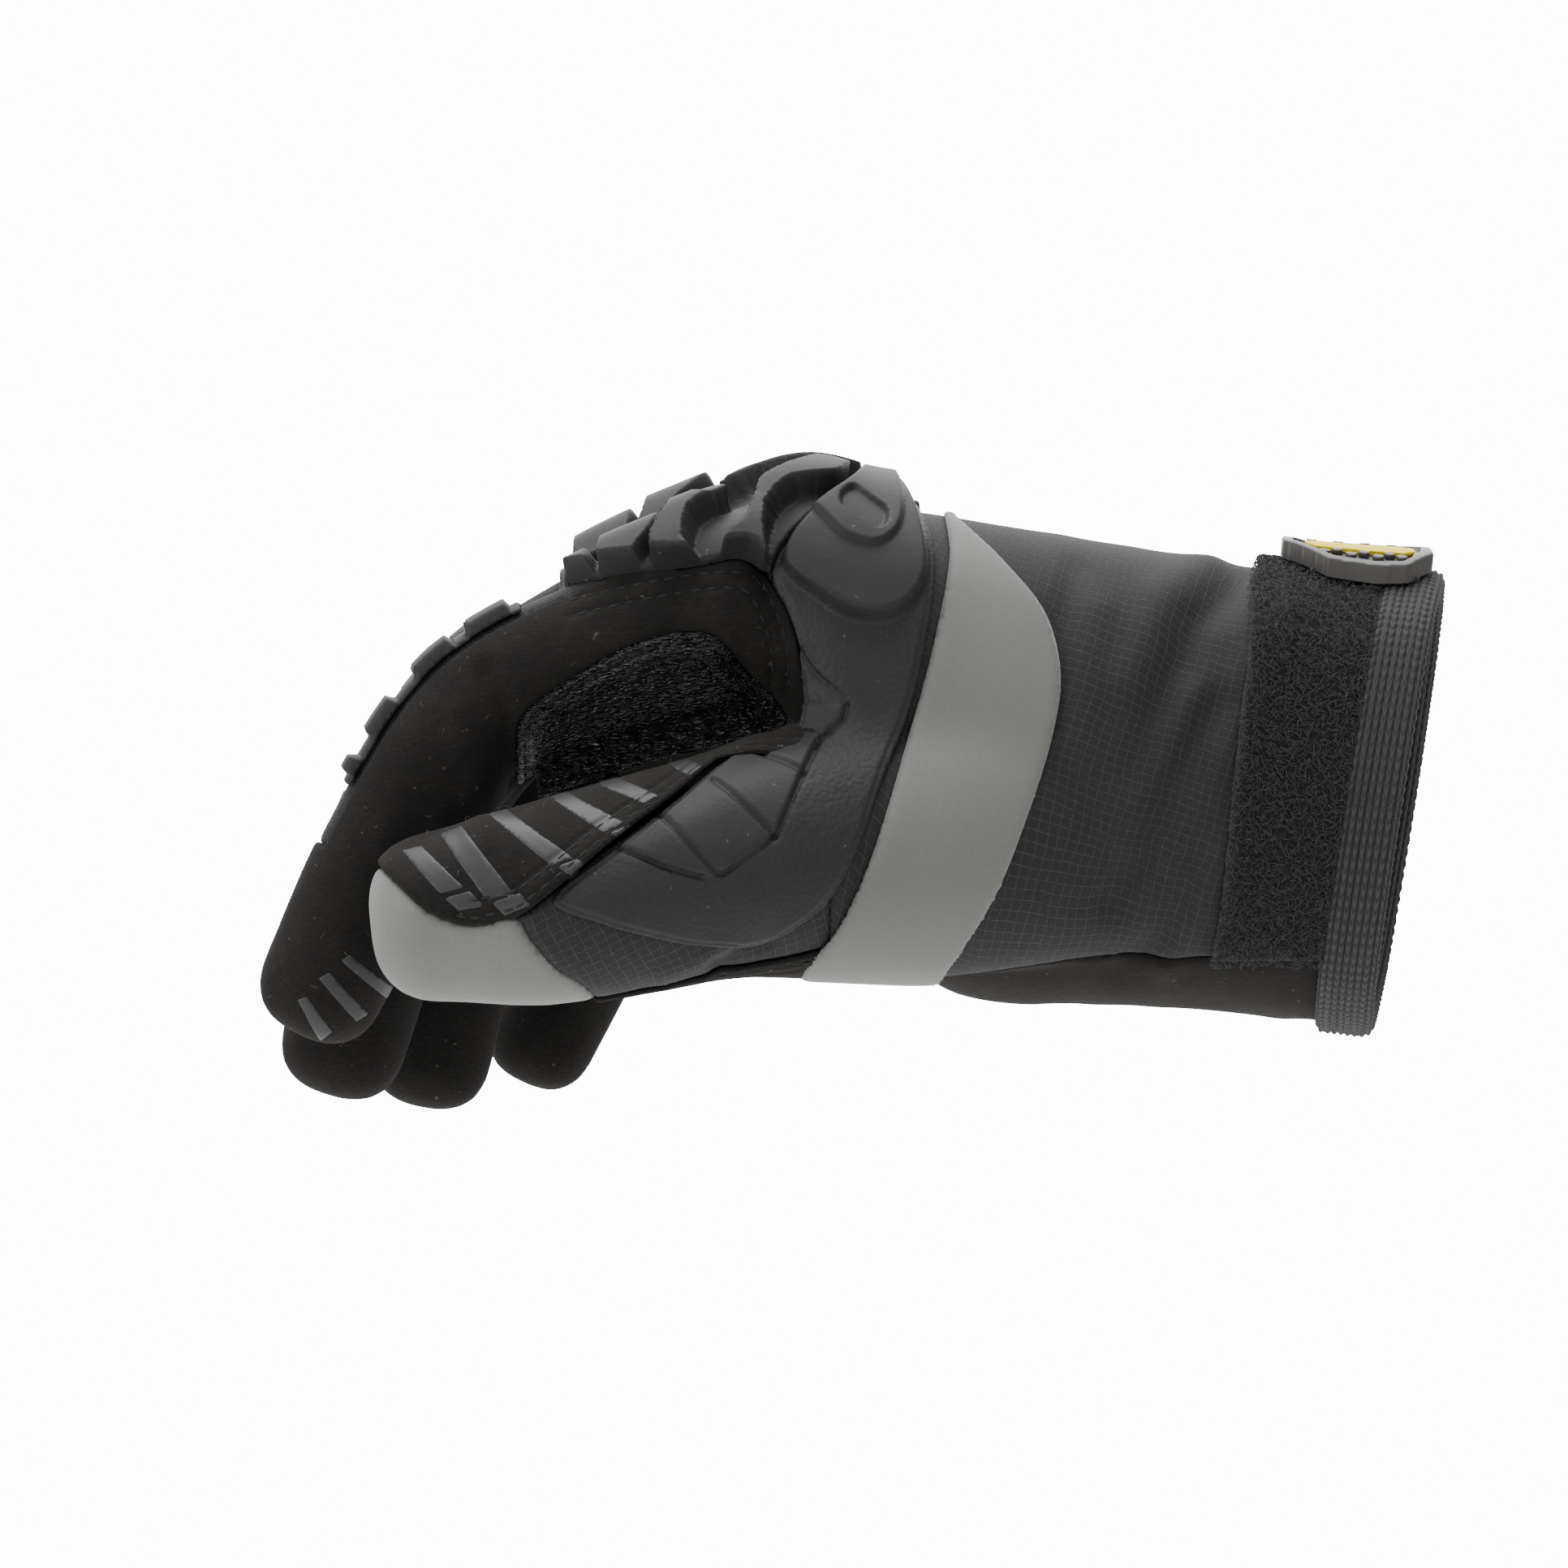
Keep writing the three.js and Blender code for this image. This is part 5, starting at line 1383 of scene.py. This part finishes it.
panel("loop_field_pile", LOOP, ["loop_field"], [loop_zone, outside(below(PALM_SEAM))],
      top=LOOP_TOP - 0.5, wall=1.0)
pile = form.copy()
cut(pile, loop_zone)
cut(pile, outside(below(PALM_SEAM)))
place(pile, coords(pile) + normals(pile) * (LOOP_TOP - 0.6))
rng = random.Random(7)
for layer in ("loop_field_curls", "loop_field_fuzz", "loop_field_nap"):
    strands(layer, FIBRE, "loop", curls(pile, rng, CURLS), CURLS["thickness"])
panel("strap_webbing", WEBBING, ["closure_strap"],
      [both(inside_cuff(STRAP_EDGES[0]), outside(nearer_than(REACH["strap"]))),
       outside(inside_cuff(STRAP_EDGES[1])), outside(below(PALM_SEAM))],
      top=STRAP_TOP, wall=1.1)

# Moulded tab on the strap's end, with its rim, studs and coloured bar
tab_middle = np.array(TAB_CENTRE) * (PALM_LENGTH, PALM_WIDTH)


def on_tab(points):
    return tab_middle + np.array(points) * (TAB_LENGTH, TAB_WIDTH)


def top_zone(points):
    return both(flat_zone(on_tab(points), (0, 1)), limit(2, 0, 1))


def tab_relief(points, edge):
    return TAB_RIM_RISE * (1 - ease((edge - 1.5) / 0.5))


panel("pull_tab_rubber", TAB_LOOK, ["pull_tab"], [top_zone(TAB)], top=TAB_TOP,
      wall=None, skirt=2.8, tuck=0.4, tuck_width=0.5, finer=3, relief=tab_relief)
panel("tab_colour_bar", YELLOW, ["tab_inlay"], [top_zone(INLAY)],
      top=TAB_TOP + 0.9, wall=0.8, tuck=0.2, tuck_width=0.3, finer=2)


def tab_studs():
    """Short round studs that give the fingers a grip on the tab."""
    surface = BVHTree.FromBMesh(form)
    bm = bmesh.new()
    for x, y in on_tab(STUDS):
        spot, normal, _, _ = surface.ray_cast(Vector((x, y, FAR)), Vector((0, 0, -1)))
        turn = normal.to_track_quat("Z", "Y").to_matrix().to_4x4()
        made = bmesh.ops.create_cone(
            bm, cap_ends=True, segments=20, radius1=0.95, radius2=0.9, depth=1.6,
            matrix=Matrix.Translation(spot + normal * (TAB_TOP + 0.1)) @ turn)
        rims = [e for v in made["verts"] for e in v.link_edges
                if all((u.co - spot).dot(normal) > TAB_TOP + 0.5 for u in e.verts)]
        bmesh.ops.bevel(bm, geom=list(set(rims)), offset=0.14, segments=2, profile=0.5,
                        affect="EDGES", material=-1)
    return bm


finished(tab_studs(), "pull_tab_studs", TAB_LOOK)


def cuff_binding():
    """Knitted binding folded over the cuff's edge, its columns of stitches along the edge."""
    rows = smooth_line(PALM, 60)[:24]
    rings = np.array([palm_ring(row, 96) for row in rows])
    path = smooth_line(BINDING, 110, closed=True)
    run = np.concatenate([[0], np.cumsum(np.linalg.norm(np.diff(path, axis=0), axis=1))])
    lines = []
    for k in range(rings.shape[1]):
        line = rings[:, k]
        ahead = past_cuff(line)
        lines.append(np.stack([np.interp(path[:, 0], ahead[::-1], line[::-1, j])
                               for j in range(3)], axis=1))
    lines = np.array(lines)
    out = lines - lines.mean(0)
    out = unit(out - (out @ CUFF_NORMAL)[..., None] * CUFF_NORMAL)
    lines = lines + out * path[None, :, 1:2]
    spots = np.linspace(0, len(lines), BINDING_STEPS, endpoint=False)
    low = spots.astype(int)
    share = (spots - low)[:, None, None]
    skin = lines[low] * (1 - share) + lines[(low + 1) % len(lines)] * share
    lengthwise = unit(np.roll(skin, -1, axis=0) - np.roll(skin, 1, axis=0))
    crosswise = unit(np.roll(skin, -1, axis=1) - np.roll(skin, 1, axis=1))
    facing = np.cross(lengthwise, crosswise)
    if (facing * out[low]).sum(2)[:, 30:40].mean() < 0:
        facing = -facing
    column = run / COLUMN * math.pi
    stitch = np.arange(BINDING_STEPS) * 2 * math.pi / STEPS_TO_A_STITCH
    lean = np.where(np.floor(column / math.pi) % 2 > 0, 1.6, 0)
    knit = np.abs(np.sin(column))[None, :] * (
        0.8 + 0.2 * np.sin(stitch[:, None] + lean[None, :]))
    skin = skin + facing * (0.55 * knit - 0.25)[..., None]
    bm = bmesh.new()
    bmesh.ops.create_grid(bm, x_segments=len(path), y_segments=BINDING_STEPS, size=1)
    wrapped = np.concatenate([skin, skin[:1]])
    wrapped = np.concatenate([wrapped, wrapped[:, :1]], axis=1)
    place(bm, wrapped.reshape(-1, 3))
    columns = bm.verts.layers.float_vector.new("cloth")
    along = np.arange(BINDING_STEPS + 1) / STEPS_TO_A_STITCH
    across = np.append(column, column[-1]) / math.pi
    for k, v in enumerate(bm.verts):
        v[columns] = (across[k % len(across)], along[k // len(across)], 0)
    bmesh.ops.remove_doubles(bm, verts=bm.verts, dist=0.0005)
    bmesh.ops.recalc_face_normals(bm, faces=bm.faces)
    return bm


finished(cuff_binding(), "cuff_binding_knit", KNIT, ["cuff_binding"])

# A little lint caught in the nap of the suede
for name in ("index_suede", "thumb_suede"):
    nap = bmesh.new()
    nap.from_mesh(bpy.data.objects[name].data)
    bmesh.ops.transform(nap, matrix=Matrix.Scale(1000, 4), verts=nap.verts)
    nap.normal_update()
    strands(name + "_lint", LINT, "suede", curls(nap, rng, HAIRS), HAIRS["thickness"])
    nap.free()


# Camera, light and stage

# Places in metres, and the lens in millimetres
CAMERA_PLACE = (-0.1025, -1.5, 0.0026)
LENS = 207.06
FLOOR_PLACE = (-0.1, 0, -0.35)
FLOOR_HALF = 2.2
GLOVE_MIDDLE = (-0.1, 0, 0)
# Lights: name, place, size and power
LIGHTS = [
    ("top_light", (-0.15, 0.15, 1.3), 1.4, 42),
    ("left_light", (-1.5, -0.5, 0.3), 1.2, 16),
    ("front_light", (0.3, -1.8, 0.9), 1.2, 12),
    ("back_light", (-0.1, 1.7, 0.2), 2.0, 60),
]


def aim(thing, target):
    direction = Vector(target) - thing.location
    thing.rotation_euler = direction.to_track_quat("-Z", "Y").to_euler()


camera = in_scene("camera", bpy.data.cameras.new("camera"))
camera.location = CAMERA_PLACE
camera.rotation_euler = (math.radians(90), 0, 0)
camera.data.lens = LENS
camera.data.sensor_width = 36
camera.data.clip_end = 50
bpy.context.scene.camera = camera

world = bpy.data.worlds.new("studio")
world.use_nodes = True
surround = world.node_tree.nodes["Background"]
surround.inputs["Color"].default_value = linear("#f4f4f4")
surround.inputs["Strength"].default_value = 0.45
# The sheet of lit paper behind the glove is pure white to the eye but lights it softly
paper = add(world.node_tree, "ShaderNodeBackground", {"Color": (1, 1, 1, 1), "Strength": 14})
seen = add(world.node_tree, "ShaderNodeLightPath")
blend = add(world.node_tree, "ShaderNodeMixShader", {
    "Fac": seen.outputs["Is Camera Ray"], 1: surround.outputs[0], 2: paper.outputs[0]})
world.node_tree.links.new(blend.outputs[0], world.node_tree.nodes["World Output"].inputs[0])
bpy.context.scene.world = world

for name, location, size, power in LIGHTS:
    light = in_scene(name, bpy.data.lights.new(name, "AREA"))
    light.location = location
    light.data.size = size
    light.data.energy = power
    aim(light, GLOVE_MIDDLE)

floor = bmesh.new()
bmesh.ops.create_grid(floor, x_segments=1, y_segments=1, size=FLOOR_HALF,
                      matrix=Matrix.Translation(FLOOR_PLACE))
mesh = bpy.data.meshes.new("floor")
floor.to_mesh(mesh)
stage = in_scene("floor", mesh)
mesh.materials.append(moulded("pale_paper", "#e4e4e3", "#eeeeed", 0.9, 5, 0.01))
